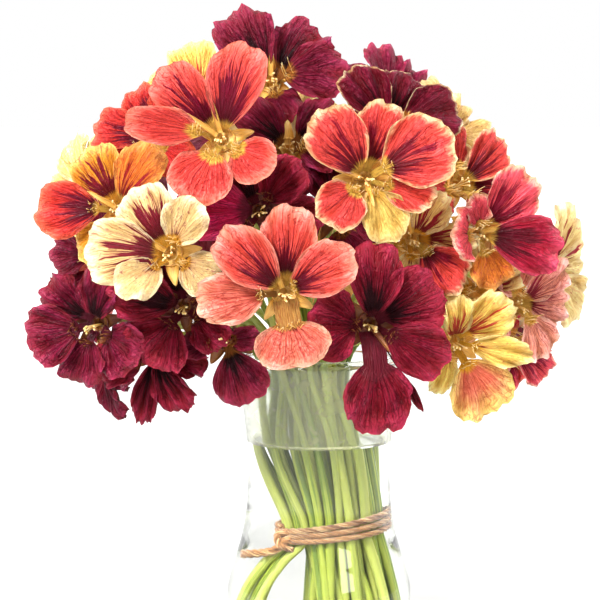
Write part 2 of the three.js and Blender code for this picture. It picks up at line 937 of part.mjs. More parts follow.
// Sets a ring, modelled round the Z axis at radius `ring`, along the sloping
// ellipse of the tie, `off` outside the outermost stems.
const roundTheBunch = (geometry, ring, off) => {
  const spots = geometry.attributes.position;
  for (let i = 0; i < spots.count; i++) {
    const [x, y, z] = [spots.getX(i), spots.getY(i), spots.getZ(i)];
    const r = Math.hypot(x, y);
    const out = r - ring + off + STEM_DIAMETER / 2;
    const ex = r ? (x / r) * (TIE.rx + out) : 0;
    const ey = r ? (y / r) * (TIE.ry + out) : 0;
    spots.setXYZ(i, TIE.x + ex, TIE.y + ey, TIE.z + ex * TIE.tilt + z);
  }
  return geometry;
};

const TWINE = { diameter: 3, pitch: 2.8, wraps: 3, groove: 0.3, sides: 20 };
const TWINE_RING = 30; // radius at which the band is turned, before it is set round the bunch

// Three wraps of twine, pressed together, rising to the right.
const twineSolid = () => {
  const strand = TWINE.diameter / 2;
  const bottom = (-TWINE.wraps * TWINE.pitch) / 2;
  const at = (out, height) => new THREE.Vector2(TWINE_RING + out * strand, height);
  const profile = [at(-1, bottom), at(TWINE.groove, bottom)];
  for (let wrap = 0; wrap < TWINE.wraps; wrap++) {
    const height = bottom + (wrap + 0.5) * TWINE.pitch;
    profile.push(at(1, height), at(TWINE.groove, height + TWINE.pitch / 2));
  }
  profile.push(at(-1, -bottom), profile[0]);
  const band = new THREE.LatheGeometry(profile, TWINE.sides).rotateX(Math.PI / 2);
  return solidOf(roundTheBunch(band, TWINE_RING, GAP + strand));
};

const lathe = (profile, sides) => {
  const points = profile.map(([z, r]) => new THREE.Vector2(r, z));
  return solidOf(new THREE.LatheGeometry(points, sides).rotateX(Math.PI / 2));
};

const vaseSolid = () => {
  const { outside, wall, floor, corner, sides } = VASE;
  const inside = outside.filter(([z]) => z > floor + corner.height).map(([z, r]) => [z, r - wall]);
  const foot = insideRadius(floor) - corner.radius;
  return lathe([[0, 0], ...outside, ...inside.reverse(), [floor, foot], [floor, 0]], sides);
};

const RIM_ROOM = { depth: 20, above: 1, beside: 1.5 };

// What the vase's mouth and rim keep clear of petals.
const rimRoom = () => {
  const [top, radius] = VASE.outside.at(-1);
  const { depth, above, beside } = RIM_ROOM;
  const [low, high] = [top - depth, top + above];
  return lathe([[low, 0], [low, radius - beside], [high, radius + beside], [high, 0]], VASE.sides);
};

// The plain hole that the water leaves for the bunch.
const WATER_HOLE = {
  sides: 14,
  // [height, half width and half depth against the tie's, shift to the right]
  levels: [
    [VASE.floor - 1, 1.72, 1.8, -5],
    [TIE.z - 9, 1.4, 1.62, 0],
    [TIE.z + 9, 1.4, 1.62, 0],
    [VASE.waterline + 4, 1.7, 2.3, -3.3],
  ],
};

// The water fills the vase up to the waterline, with one plain hole for the bunch.
const waterSolid = () => {
  const { floor, corner, waterline, sides, outside } = VASE;
  const line = outside.filter(([z]) => z > floor + corner.height && z < waterline).map(([z]) => z);
  const edge = [...line, waterline].map((z) => [z, insideRadius(z) - GAP]);
  const foot = [floor + GAP, insideRadius(floor) - GAP - corner.radius];
  const body = lathe([[foot[0], 0], foot, ...edge, [waterline, 0]], sides);
  const hole = WATER_HOLE.levels;
  const shaft = new THREE.CylinderGeometry(1, 1, 1, WATER_HOLE.sides, hole.length - 1).rotateX(Math.PI / 2);
  const spots = shaft.attributes.position;
  for (let i = 0; i < spots.count; i++) {
    const [z, halfWidth, halfDepth, shift] = hole[Math.round((spots.getZ(i) + 0.5) * (hole.length - 1))];
    const x = TIE.x + shift + spots.getX(i) * halfWidth * TIE.rx;
    spots.setXYZ(i, x, TIE.y + spots.getY(i) * halfDepth * TIE.ry, z);
  }
  return biggest(body.subtract(solidOf(shaft)));
};

// ------------------------------------------------------------------- assembly

const bouquet = new THREE.Group();
bouquet.name = "nasturtium_bouquet";

const add = (name, solid, color, roughness, more = {}) => {
  const finish = { color, roughness, metalness: 0, side: THREE.DoubleSide, ...more };
  const material = new THREE.MeshStandardMaterial(finish);
  const mesh = new THREE.Mesh(geometryOf(solid), material);
  mesh.name = name;
  bouquet.add(mesh);
};

add("vase", vaseSolid(), COLOUR.glass, 0.05, { transparent: true, opacity: 0.35 });
add("water", waterSolid(), COLOUR.water, 0.05, { transparent: true, opacity: 0.35 });
add("twine", twineSolid(), COLOUR.twine, 0.9);

const places = assignPlaces(BLOOMS);
const stems = joined([...stemSolids(places, 0), bunchSolid()]);
add("stems", stems, COLOUR.stem, 0.55);

const stemRoom = joined(stemSolids(places, PETAL_CLEARANCE));
const vaseRoom = rimRoom();
const settled = [];
for (const bloom of BLOOMS) {
  let solid = bloomSolid(bloom, 0);
  const inTheWay = [stemRoom, vaseRoom, ...settled].filter((taken) => near(solid, taken));
  if (inTheWay.length) solid = biggest(solid.subtract(joined(inTheWay)));
  add("bloom_" + bloom.name, solid, bloom.colour, 0.6);
  settled.push(bloomSolid(bloom, PETAL_CLEARANCE));
}

export default bouquet;
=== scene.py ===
"""A hand-tied bouquet of nasturtium blooms, standing in a waisted glass vase of water.

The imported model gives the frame: +Z up, the origin at the centre of the vase's foot, and the dressed side of
the bouquet towards -Y. Every size below is in millimetres until a mesh is made, which is in metres.
"""

import functools
import logging
import math
from dataclasses import dataclass, field, replace
from enum import Enum

import bmesh
import bpy
import numpy as np
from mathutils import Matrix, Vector

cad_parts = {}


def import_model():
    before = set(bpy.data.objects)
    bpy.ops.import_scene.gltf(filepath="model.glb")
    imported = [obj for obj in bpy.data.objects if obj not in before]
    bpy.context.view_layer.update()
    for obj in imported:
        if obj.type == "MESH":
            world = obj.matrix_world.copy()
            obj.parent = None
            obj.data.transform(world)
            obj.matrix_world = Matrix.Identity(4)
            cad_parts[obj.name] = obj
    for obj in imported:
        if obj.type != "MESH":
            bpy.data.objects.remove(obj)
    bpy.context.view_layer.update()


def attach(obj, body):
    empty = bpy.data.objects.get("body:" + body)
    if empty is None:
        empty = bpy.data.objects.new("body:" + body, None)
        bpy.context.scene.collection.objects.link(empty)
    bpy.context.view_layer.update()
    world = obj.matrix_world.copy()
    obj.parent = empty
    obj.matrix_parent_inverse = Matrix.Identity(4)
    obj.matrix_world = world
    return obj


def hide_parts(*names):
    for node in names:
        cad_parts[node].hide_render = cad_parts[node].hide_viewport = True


LOG = logging.getLogger("bouquet")

MM = 0.001

Point = tuple[float, float, float]
Colour = tuple[float, float, float]
Socket = bpy.types.NodeSocket


def colour(code: str) -> Colour:
    """The linear colour of a code such as "ee5f52".

    Args:
        code: six hexadecimal digits, two each for red, green and blue.

    Returns:
        Red, green and blue from 0 to 1, as the shaders take them.
    """
    channels = [int(code[i : i + 2], 16) / 255 for i in (0, 2, 4)]
    return tuple(c / 12.92 if c <= 0.04045 else ((c + 0.055) / 1.055) ** 2.4 for c in channels)


def darker(tint: Colour, share: float) -> Colour:
    """A colour with only a share of its light."""
    return tuple(c * share for c in tint)


# ---------------------------------------------------------------- node sheets


class Value:
    """A number that flows through a node tree. Arithmetic on it adds the Math nodes that work it out."""

    def __init__(self, sheet: "NodeSheet", socket: Socket) -> None:
        """Takes a node's output on a sheet."""
        self.sheet = sheet
        self.socket = socket

    def _math(self, operation: str, *terms: object) -> "Value":
        """Adds a Math node.

        Args:
            operation: its operation, such as "MULTIPLY".
            terms: what feeds its inputs, in order.

        Returns:
            Its result.
        """
        node = self.sheet.add("Math", operation=operation)
        for socket, term in zip(node.inputs, terms):
            self.sheet.feed(socket, term)
        return Value(self.sheet, node.outputs[0])

    def __add__(self, other: object) -> "Value":
        """The sum of both."""
        return self._math("ADD", self, other)

    def __sub__(self, other: object) -> "Value":
        """This less the other."""
        return self._math("SUBTRACT", self, other)

    def __rsub__(self, other: object) -> "Value":
        """The other less this."""
        return self._math("SUBTRACT", other, self)

    def __mul__(self, other: object) -> "Value":
        """The product of both."""
        return self._math("MULTIPLY", self, other)

    def __pow__(self, power: float) -> "Value":
        """This to a power."""
        return self._math("POWER", self, power)

    def __abs__(self) -> "Value":
        """This without its sign."""
        return self._math("ABSOLUTE", self)

    def sine(self) -> "Value":
        """The sine of this, which is in radians."""
        return self._math("SINE", self)

    def at_least(self, other: object) -> "Value":
        """The larger of both."""
        return self._math("MAXIMUM", self, other)

    def step(self, low: float, high: float) -> "Value":
        """A smooth step up between two values, or down where high is the lower one.

        Args:
            low: where the step is 0, and stays 0 beyond it.
            high: where it is 1, and stays 1 beyond it.

        Returns:
            The height of the step.
        """
        node = self.sheet.add("MapRange", interpolation_type="SMOOTHSTEP")
        self.sheet.feed(node.inputs["Value"], self)
        node.inputs["From Min"].default_value = min(low, high)
        node.inputs["From Max"].default_value = max(low, high)
        node.inputs["To Min"].default_value = 1.0 if high < low else 0.0
        node.inputs["To Max"].default_value = 0.0 if high < low else 1.0
        return Value(self.sheet, node.outputs["Result"])


class NodeSheet:
    """The node tree of a material or of the world, with short calls for the nodes that it uses."""

    FIRST_COLOUR, SECOND_COLOUR, MIXED_COLOUR = 6, 7, 2  # places of a Mix node's sockets for colours

    def __init__(self, owner: bpy.types.ID) -> None:
        """Starts an empty node tree on its owner.

        Args:
            owner: the material or world.
        """
        self.owner = owner
        owner.use_nodes = True
        self.nodes = owner.node_tree.nodes
        self.links = owner.node_tree.links
        self.nodes.clear()

    @classmethod
    def of_material(cls, name: str) -> "NodeSheet":
        """The sheet of a new material of that name."""
        return cls(bpy.data.materials.new(name))

    def add(self, kind: str, **settings: object) -> bpy.types.Node:
        """Adds a node.

        Args:
            kind: the node's type, without the word ShaderNode.
            settings: properties to set on it.

        Returns:
            The new node.
        """
        node = self.nodes.new("ShaderNode" + kind)
        for name, value in settings.items():
            setattr(node, name, value)
        return node

    def feed(self, socket: Socket, value: object) -> None:
        """Links a socket to another, or sets its own value.

        Args:
            socket: the input to feed.
            value: a value or another node's output, or else a number, colour or vector.
        """
        if isinstance(value, Value):
            value = value.socket
        if isinstance(value, Socket):
            self.links.new(value, socket)
        elif socket.type == "RGBA":
            socket.default_value = (*value[:3], 1.0)
        else:
            socket.default_value = value

    def reading(self, kind: str, output: str) -> Value:
        """What a node without inputs gives at one of its outputs."""
        return Value(self, self.add(kind).outputs[output])

    def vector(self, x: object, y: object, z: object) -> Socket:
        """Joins three numbers.

        Args:
            x: the first.
            y: the second.
            z: the third.

        Returns:
            The vector.
        """
        node = self.add("CombineXYZ")
        for socket, value in zip(node.inputs, (x, y, z)):
            self.feed(socket, value)
        return node.outputs[0]

    def parts_of(self, vector: Socket) -> list[Value]:
        """Takes a vector apart.

        Args:
            vector: what to take apart.

        Returns:
            Its three numbers.
        """
        node = self.add("SeparateXYZ")
        self.feed(node.inputs[0], vector)
        return [Value(self, socket) for socket in node.outputs]

    def values_of(self, name: str) -> list[Value]:
        """The three numbers of a vector attribute of the mesh."""
        return self.parts_of(self.add("Attribute", attribute_name=name).outputs["Vector"])

    def noise(self, vector: object, scale: float, detail: float = 2.0) -> Value:
        """Cloudy noise.

        Args:
            vector: where it is read.
            scale: how many clouds there are to a unit.
            detail: how many finer octaves it has.

        Returns:
            Its value, about 0.5 on average.
        """
        node = self.add("TexNoise")
        self.feed(node.inputs["Vector"], vector)
        node.inputs["Scale"].default_value = scale
        node.inputs["Detail"].default_value = detail
        return Value(self, node.outputs[0])

    def mix(self, factor: object, first: object, second: object, way: str = "MIX") -> Socket:
        """Mixes two colours.

        Args:
            factor: the second one's share.
            first: a colour.
            second: another.
            way: how they mix, such as "MULTIPLY".

        Returns:
            The mixed colour.
        """
        node = self.add("Mix", data_type="RGBA", blend_type=way)
        self.feed(node.inputs["Factor"], factor)
        self.feed(node.inputs[self.FIRST_COLOUR], first)
        self.feed(node.inputs[self.SECOND_COLOUR], second)
        return node.outputs[self.MIXED_COLOUR]

    def blend(self, factor: object, first: Socket, second: Socket) -> Socket:
        """Mixes two shaders.

        Args:
            factor: the second one's share.
            first: a shader.
            second: another.

        Returns:
            The mixed shader.
        """
        node = self.add("MixShader")
        for socket, value in zip(node.inputs, (factor, first, second)):
            self.feed(socket, value)
        return node.outputs[0]

    def bump(self, height: Value, distance: float, strength: float) -> Socket:
        """Gives a surface relief.

        Args:
            height: how high it stands out.
            distance: what a height of 1 comes to, in millimetres.
            strength: how much of the relief shows.

        Returns:
            The surface's normal.
        """
        node = self.add("Bump")
        node.inputs["Strength"].default_value = strength
        node.inputs["Distance"].default_value = distance * MM
        self.feed(node.inputs["Height"], height)
        return node.outputs[0]

    def principled(self, **inputs: object) -> Socket:
        """Makes a Principled shader.

        Args:
            inputs: what feeds its inputs, by name with _ for each space.

        Returns:
            The shader.
        """
        node = self.add("BsdfPrincipled")
        for name, value in inputs.items():
            self.feed(node.inputs[name.replace("_", " ")], value)
        return node.outputs[0]

    def translucent(self, **inputs: object) -> Socket:
        """Makes a shader that lets light through.

        Args:
            inputs: what feeds its inputs, by name.

        Returns:
            The shader.
        """
        node = self.add("BsdfTranslucent")
        for name, value in inputs.items():
            self.feed(node.inputs[name], value)
        return node.outputs[0]

    def finish(self, shader: Socket, output: str = "OutputMaterial") -> bpy.types.ID:
        """Puts a shader on the surface and gives back the material or world."""
        self.feed(self.add(output).inputs["Surface"], shader)
        return self.owner


# -------------------------------------------------------------------- finishes


@dataclass(frozen=True)
class PetalFinish:
    """One petal colouring: a body colour, with what nasturtiums paint on it from the throat outwards."""

    name: str
    slot: str
    body: str
    margin: str
    blotch: str
    vein: str
    claw: str = "f4c656"
    under: str = "d0907a"
    margin_width: float = 0.3
    margin_strength: float = 0.6
    rim: float = 0.6  # how pale the very edge is
    reach: float = 0.5  # how far out the blotch goes, as a share of the petal
    feather: float = 0.5  # how ragged the blotch's edge is
    splash: float = 0.0
    veins: float = 0.55
    claw_reach: float = 0.04
    gloss: float = 0.25
    glow: float = 0.35  # share of light that goes through each face
    depth: float = 0.85  # how much painted shade and light its folds and crinkles get
    wrinkles: float = 0.38  # how strongly its fine wrinkles show, in the bump and as painted shade along their creases

    def _veins(self, across: Value, along: Value, rough: Value) -> Value:
        """Fine lines that fan out from the throat, fork twice and fade towards the edge.

        Args:
            across: -1 to 1 from side to side.
            along: 0 at the claw to 1 at the edge.
            rough: noise that frays where they end.

        Returns:
            Where the lines are.
        """
        lines = None
        for count, start in ((6.0, -0.5), (13.0, 0.14), (27.0, 0.36)):
            wave = abs((across * (count * math.pi)).sine())
            line = wave.step(0.3, 0.04) * along.step(start, start + 0.22)
            lines = line if lines is None else lines.at_least(line)
        return lines * (along + rough * 0.5).step(1.45, 0.7)

    def _painted(
        self, sheet: NodeSheet, across: Value, along: Value, mark: Value, streaks: Value, crumbs: Value,
        veins: Value,
    ) -> Socket:  # fmt: skip
        """The upper face's colour: body, margin, blotch, flecks and claw.

        Args:
            sheet: the material's nodes.
            across: -1 to 1 from side to side.
            along: 0 at the claw to 1 at the edge.
            mark: how strong the blotch is on this petal.
            streaks: noise drawn out along the veins.
            crumbs: finer noise.
            veins: where the veins are.

        Returns:
            The colour.
        """
        body, pale, dark, vein = (colour(c) for c in (self.body, self.margin, self.blotch, self.vein))
        # the blotch: longest on the midrib, its edge drawn out in feathers along the veins
        ragged = (streaks - 0.5) * (self.feather * 2.0) + (veins - 0.3) * 0.16
        inside = mark * self.reach - across**2.0 * 0.34 + ragged * mark - along
        blotch = inside.step(-0.04, 0.07)
        flush = inside.step(-0.34, 0.05)
        edge = along.at_least(abs(across) * 0.985)
        worn = edge + (crumbs - 0.5) * 0.3
        face = sheet.mix(worn.step(1.0 - self.margin_width, 1.0) * self.margin_strength, body, pale)
        face = sheet.mix(flush * 0.4, face, vein)
        face = sheet.mix(veins * self.veins, face, vein)
        face = sheet.mix(streaks.step(0.56, 0.74) * 0.45, face, vein)
        # painted light: lighter flecks where the crinkle noise, which is also the bump's height, stands
        # highest
        light = tuple(min(1.0, c * 1.35 + 0.03) for c in body)
        face = sheet.mix(crumbs.step(0.54, 0.72) * 0.4, face, light)
        if self.splash:
            fleck = crumbs.step(0.62 - 0.16 * self.splash, 0.7) * along.step(1.02, 0.8)
            rosy = tuple((a + b) / 2 for a, b in zip(dark, vein))
            face = sheet.mix(fleck * 0.8, face, rosy)
        deep = sheet.mix(along.step(0.05, 0.5), darker(dark, 0.4), dark)
        deep = sheet.mix(veins * 0.5, deep, darker(dark, 0.3))
        face = sheet.mix(blotch * 0.98, face, deep)
        face = sheet.mix(edge.step(0.93, 0.99) * self.rim, face, pale)
        # the claw's own colour goes further up a petal that has little or no blotch, and up its sides
        foot = (self.claw_reach + 0.16) - mark * 0.16 + across**4.0 * 0.14
        foot = foot - (along + (streaks - 0.5) * 0.2)
        lines = (veins * 0.7).at_least(streaks.step(0.5, 0.66))
        claw = sheet.mix(lines * 0.5, colour(self.claw), darker(colour(self.claw), 0.5))
        return sheet.mix(foot.step(-0.07, 0.05), face, claw)

    def build(self) -> bpy.types.Material:
        """Makes the material, which reads the petal's own measures from the mesh.

        Returns:
            The material.
        """
        sheet = NodeSheet.of_material("petal_" + self.name)
        across, along, seed = sheet.values_of("place")
        mark, under, tone = sheet.values_of("tint")
        sway = sheet.noise(sheet.vector(across, along, seed), 2.4)
        bent = across + (sway - 0.5) * 0.34 * along
        streaks = sheet.noise(sheet.vector(bent * 8.5, along * 1.2, seed), 1.0, 4.0)
        crumbs = sheet.noise(sheet.vector(bent * 9.0, along * 5.5, seed), 1.5, 6.0)
        cloud = sheet.noise(sheet.vector(across, along, seed), 2.2, 5.0)
        fold = sheet.noise(sheet.vector(bent * 5.0, along * 5.5, seed), 1.3, 3.0)
        wrinkle = abs(fold - 0.5).step(0.045, 0.0) * cloud.step(0.36, 0.6)
        veins = self._veins(bent, along, crumbs)
        face = self._painted(sheet, bent, along, mark, streaks, crumbs, veins)
        # the underside is paler, and its veins show more than the blotch does
        back = sheet.mix(veins * 0.4, colour(self.under), colour(self.body))
        face = sheet.mix(under, face, back)
        # painted shade along the fine creases, in the vein colour
        face = sheet.mix(wrinkle * self.wrinkles, face, colour(self.vein))
        # painted shade and light: darker and warmer in the hollows of folds, creases and crinkles, lighter on
        # their ridges
        shade = (cloud - 0.5) * 1.1 + (crumbs - 0.5) * 0.8 - wrinkle * 0.08
        shade = (shade + 1.05 + tone * self.depth).at_least(0.18)
        warm_painted_shade = sheet.vector(shade**0.6, shade**1.0, shade**1.5)
        shown = sheet.mix(1.0, face, warm_painted_shade, "MULTIPLY")

        lines = veins * 0.5 + wrinkle * (1.3 * self.wrinkles)
        normal = sheet.bump(crumbs * 1.4 - lines, 1.1, 0.85)
        skin = sheet.principled(
            Base_Color=shown,
            Roughness=crumbs * 0.5 + 0.1,
            Specular_IOR_Level=self.gloss,
            Normal=normal,
        )
        through = sheet.translucent(Color=shown, Normal=normal)
        return sheet.finish(sheet.blend(self.glow, skin, through))


@dataclass(frozen=True)
class GrownFinish:
    """A smooth green or golden skin with streaks that run along it, for stems, cups, sepals and stamens."""

    name: str
    slot: str
    body: str
    streak: str
    tip: str
    roughness: float = 0.42
    glow: float = 0.25

    def build(self) -> bpy.types.Material:
        """Makes the material, which reads round, along and seed from the mesh.

        Returns:
            The material.
        """
        sheet = NodeSheet.of_material(self.name)
        around, along, seed = sheet.values_of("place")
        grain = sheet.noise(sheet.vector(around * 11.0, along * 3.0, seed), 1.0, 4.0)
        cloud = sheet.noise(sheet.vector(around, along * 4.0, seed), 1.5, 2.0)
        own = sheet.noise(sheet.vector(seed, along * 1.2, 0.0), 1.0, 1.0)
        face = sheet.mix(grain.step(0.4, 0.62), colour(self.body), colour(self.streak))
        face = sheet.mix(own.step(0.35, 0.7) * 0.6, face, colour(self.tip))
        face = sheet.mix(along.step(0.5, 1.0) * cloud.step(0.2, 0.6), face, colour(self.tip))
        skin = sheet.principled(
            Base_Color=face,
            Roughness=cloud * 0.2 + (self.roughness - 0.1),
            Specular_IOR_Level=0.45,
            Normal=sheet.bump(grain, 0.25, 0.4),
        )
        return sheet.finish(sheet.blend(self.glow, skin, sheet.translucent(Color=face)))


@dataclass(frozen=True)
class ClearFinish:
    """Glass or water, by how much it bends light against what is in front of it."""

    name: str
    slot: str
    ior: float
    tint: str = "fbfdfb"
    edge: str = ""  # the tint where the wall is seen along its length, where it has one: partly the green of thick glass, partly painted shade on the silhouette
    mist: float = 0.0  # roughness of a misted surface
    veil: float = 0.0  # how thick the mist is
    veil_tint: str = "f6f2cc"

    def build(self) -> bpy.types.Material:
        """Makes the material. Light on its way to what stands inside passes straight through.

        Returns:
            The material.
        """
        sheet = NodeSheet.of_material(self.name)
        tint = colour(self.tint)
        # grey-green towards the silhouette: partly the green of thick glass, partly painted shade
        if self.edge:
            facing = sheet.reading("LayerWeight", "Facing")
            tint = sheet.mix(facing.step(0.5, 0.95), tint, colour(self.edge))
        surface = sheet.principled(
            Base_Color=tint,
            Roughness=self.mist,
            IOR=self.ior,
            Transmission_Weight=1.0,
            Specular_IOR_Level=0.5,
        )
        if self.veil:
            drops = sheet.noise(sheet.reading("TexCoord", "Object"), 130.0, 3.0)
            veil = sheet.translucent(Color=colour(self.veil_tint))
            surface = sheet.blend(drops * (2 * self.veil), surface, veil)
        open_way = sheet.add("BsdfTransparent").outputs[0]
        return sheet.finish(sheet.blend(sheet.reading("LightPath", "Is Shadow Ray"), surface, open_way))


@dataclass(frozen=True)
class OpenFinish:
    """The side of the water, which wets the glass: the glass's own wall already bends the light there."""

    name: str = "water_at_the_glass"
    slot: str = "water"

    def build(self) -> bpy.types.Material:
        """Makes the material."""
        sheet = NodeSheet.of_material(self.name)
        return sheet.finish(sheet.add("BsdfTransparent").outputs[0])


@dataclass(frozen=True)
class JuteFinish:
    """Dry twisted jute: brown plies with straw coloured fibres along them."""

    name: str = "jute"
    slot: str = "jute"
    dark: str = "50301a"
    body: str = "9a6a3a"
    straw: str = "e2c794"

    def build(self) -> bpy.types.Material:
        """Makes the material, which reads round, along and seed from the mesh.

        Returns:
            The material.
        """
        sheet = NodeSheet.of_material(self.name)
        around, along, seed = sheet.values_of("place")
        fibre = sheet.noise(sheet.vector(around * 7.0, along * 3.0, seed), 1.6, 4.0)
        face = sheet.mix(fibre.step(0.34, 0.52), colour(self.dark), colour(self.body))
        face = sheet.mix(fibre.step(0.54, 0.66), face, colour(self.straw))
        shader = sheet.principled(
            Base_Color=face,
            Roughness=0.85,
            Sheen_Weight=0.3,
            Sheen_Roughness=0.5,
            Normal=sheet.bump(fibre, 0.5, 0.9),
        )
        return sheet.finish(shader)


@dataclass(frozen=True)
class FloorFinish:
    """The pale matt floor that the vase stands on."""

    name: str = "floor"
    body: str = "b9b9b8"
    grain: str = "b5b5b4"
    far: str = "fafaf9"  # painted light: near-white away from the vase, where less lamp light reaches
    near_end: float = 0.7  # metres from the vase
    far_start: float = 1.8

    def build(self) -> bpy.types.Material:
        """Makes the material.

        Returns:
            The material.
        """
        sheet = NodeSheet.of_material(self.name)
        place = sheet.reading("TexCoord", "Object")
        grain = sheet.noise(place, 60.0, 3.0)
        face = sheet.mix(grain.step(0.3, 0.7), colour(self.body), colour(self.grain))
        length = sheet.add("VectorMath", operation="LENGTH")
        sheet.feed(length.inputs[0], place)
        away = Value(sheet, length.outputs["Value"])
        # painted light: the floor turns near-white further off, where less lamp light reaches it
        face = sheet.mix(away.step(self.near_end, self.far_start), face, colour(self.far))
        return sheet.finish(sheet.principled(Base_Color=face, Roughness=0.8))


Finish = PetalFinish | GrownFinish | ClearFinish | OpenFinish | JuteFinish | FloorFinish


@functools.cache
def dressed(finish: Finish) -> bpy.types.Material:
    """The material of a finish, made once."""
    return finish.build()


CORAL = PetalFinish(
    "coral", "petal_coral", "f85a4c", "fbb094", "7c0628", "8c0a22", under="ea8474",
    reach=0.5, feather=0.6, veins=0.65,
)  # fmt: skip
CROWN = PetalFinish(
    "crown", "petal_coral", "f0544a", "f2846e", "760628", "860c26", under="ea8474",
    reach=0.66, feather=0.8, veins=0.55,
)  # fmt: skip
CORAL_LOW = PetalFinish(
    "coral_low", "petal_coral", "ec4a40", "f69a80", "a8182e", "9c1024", under="ee9a86",
    reach=0.24, veins=0.75, claw_reach=0.1,
)  # fmt: skip
PEACH = PetalFinish(
    "peach", "petal_coral", "f07a62", "fbc0a0", "c0202e", "b4202c", under="f8b898",
    claw="b88440", reach=0.36, feather=0.8, veins=0.7, claw_reach=-0.03, margin_strength=0.8,
)  # fmt: skip
CORAL_CREAM = PetalFinish(
    "coral_cream", "petal_coral", "ee4e44", "f4cf98", "860c26", "961226", under="f2c48a",
    margin_width=0.16, margin_strength=0.8, rim=0.7, reach=0.56, feather=0.9, claw_reach=0.06, veins=0.65,
)  # fmt: skip
SALMON = PetalFinish(
    "salmon", "petal_salmon", "ffa88e", "ffd2b8", "b01c3c", "ac2238", under="fac4ae",
    reach=0.4, feather=0.9, veins=0.7,
)  # fmt: skip
SCARLET = PetalFinish(
    "scarlet", "petal_scarlet", "e23830", "f47c54", "760828", "900c24", under="e87860",
    reach=0.55, feather=0.7,
)  # fmt: skip
RUBY = PetalFinish(
    "ruby", "petal_scarlet", "b81836", "e0506a", "6a061e", "7a0820", under="d0506a",
    reach=0.6, feather=0.7, rim=0.3,
)  # fmt: skip
ROSE = PetalFinish(
    "rose", "petal_scarlet", "fa5a66", "fccca6", "980a30", "9c1030", under="f0a090",
    margin_width=0.16, margin_strength=0.85, reach=0.6, feather=0.9,
)  # fmt: skip
CRIMSON = PetalFinish(
    "crimson", "petal_crimson", "7e0a22", "b62e44", "34030f", "2a0109", claw="6a1826", under="943040",
    margin_width=0.5, reach=0.45, veins=0.65, rim=0.4, gloss=0.15, glow=0.32, depth=1.1,
)  # fmt: skip
VELVET = replace(CRIMSON, name="velvet", body="bc1a40", margin="cc4058", blotch="5c0820", vein="52061a")
CLARET = PetalFinish(
    "claret", "petal_claret", "720c28", "a83048", "2a020c", "1c0106", claw="a8642a", under="80283a",
    margin_width=0.5, reach=0.4, veins=0.65, rim=0.4, gloss=0.15, glow=0.32, depth=1.1,
)  # fmt: skip
CLARET_EDGED = PetalFinish(
    "claret_edged", "petal_claret", "700a22", "e6c08c", "2a020c", "240108", claw="b8702e", under="e8c890",
    margin_width=0.04, margin_strength=0.7, rim=0.55, reach=0.4, gloss=0.15, glow=0.32, depth=1.1,
)  # fmt: skip
PLUM = PetalFinish(
    "plum", "petal_magenta", "7c0a2c", "ae3048", "36030f", "2a020b", claw="6c2030", under="983c50",
    margin_width=0.5, reach=0.4, veins=0.7, rim=0.45, gloss=0.2, glow=0.34, depth=1.1,
)  # fmt: skip
MAGENTA = PetalFinish(
    "magenta", "petal_magenta", "8c1036", "bc3656", "520520", "4a0418", under="b8506e", reach=0.4, gloss=0.24
)
CREAM_SPLASHED = PetalFinish(
    "cream_splashed", "petal_cream", "f6d692", "fbeac0", "86082a", "bc4a3c", claw="e8a634", under="f6e0a8",
    margin_strength=0.8, reach=0.66, feather=1.15, splash=0.4, veins=0.3, depth=0.6, wrinkles=0.14,
)  # fmt: skip
CREAM = PetalFinish(
    "cream", "petal_cream", "fbdc90", "fdefc4", "a81a34", "cc6c44", claw="e8a634", under="fbecc4",
    reach=0.5, feather=1.15, splash=0.35, veins=0.35, glow=0.55, depth=0.5, wrinkles=0.16,
)  # fmt: skip
CREAM_PALE = replace(
    CREAM, name="cream_pale", body="fbe8a8", margin="fff6d8", vein="e09a68",
    splash=0.2, glow=0.6, wrinkles=0.1,
)  # fmt: skip
GOLD = PetalFinish(
    "gold", "petal_gold", "f2a42c", "fad078", "86082a", "c2502a", claw="e09a30", under="f4cc78",
    reach=0.7, feather=1.1, splash=0.3, veins=0.45,
)  # fmt: skip
GOLD_PLAIN = PetalFinish(
    "gold_plain", "petal_gold", "f0c260", "fae09c", "d09c48", "b8863c", claw="e6b048", under="ecc878",
    reach=0.2, veins=0.5, depth=0.6, wrinkles=0.2,
)  # fmt: skip
ORANGE = PetalFinish(
    "orange", "petal_gold", "f38e34", "fac468", "b0182a", "c63c2a", under="f6b878",
    reach=0.45, feather=1.0, splash=0.55,
)  # fmt: skip
YELLOW = PetalFinish(
    "yellow", "petal_yellow", "ffe070", "fff0b0", "d83a30", "e47c30", claw="f4b83c", under="fae08c",
    reach=0.5, feather=1.1, splash=0.3, veins=0.5, depth=0.5, wrinkles=0.2,
)  # fmt: skip
YELLOW_CORAL = PetalFinish(
    "yellow_coral", "petal_yellow", "ee7c60", "fadc7c", "c83430", "cc3a30", claw="f4b430", under="f9d47c",
    margin_width=0.6, margin_strength=0.95, rim=0.8, reach=0.3, veins=0.6, depth=0.5,
)  # fmt: skip
PALE = PetalFinish(
    "pale", "petal_yellow", "fbe794", "fdf2c4", "e89a50", "f4c060", under="fcf0c0", reach=0.3, veins=0.3
)

CALYX = GrownFinish("calyx", "calyx", "f0be50", "c68a34", "fbdc88", glow=0.35)
CALYX_RED = GrownFinish("calyx_red", "calyx", "7c3422", "50121c", "b07430")
STAMEN = GrownFinish("stamen", "stamen", "fade80", "f0bc54", "fdf0c0", glow=0.4)
STEM = GrownFinish("stem", "stem", "a6b244", "66802a", "c2c66a", glow=0.3, roughness=0.3)

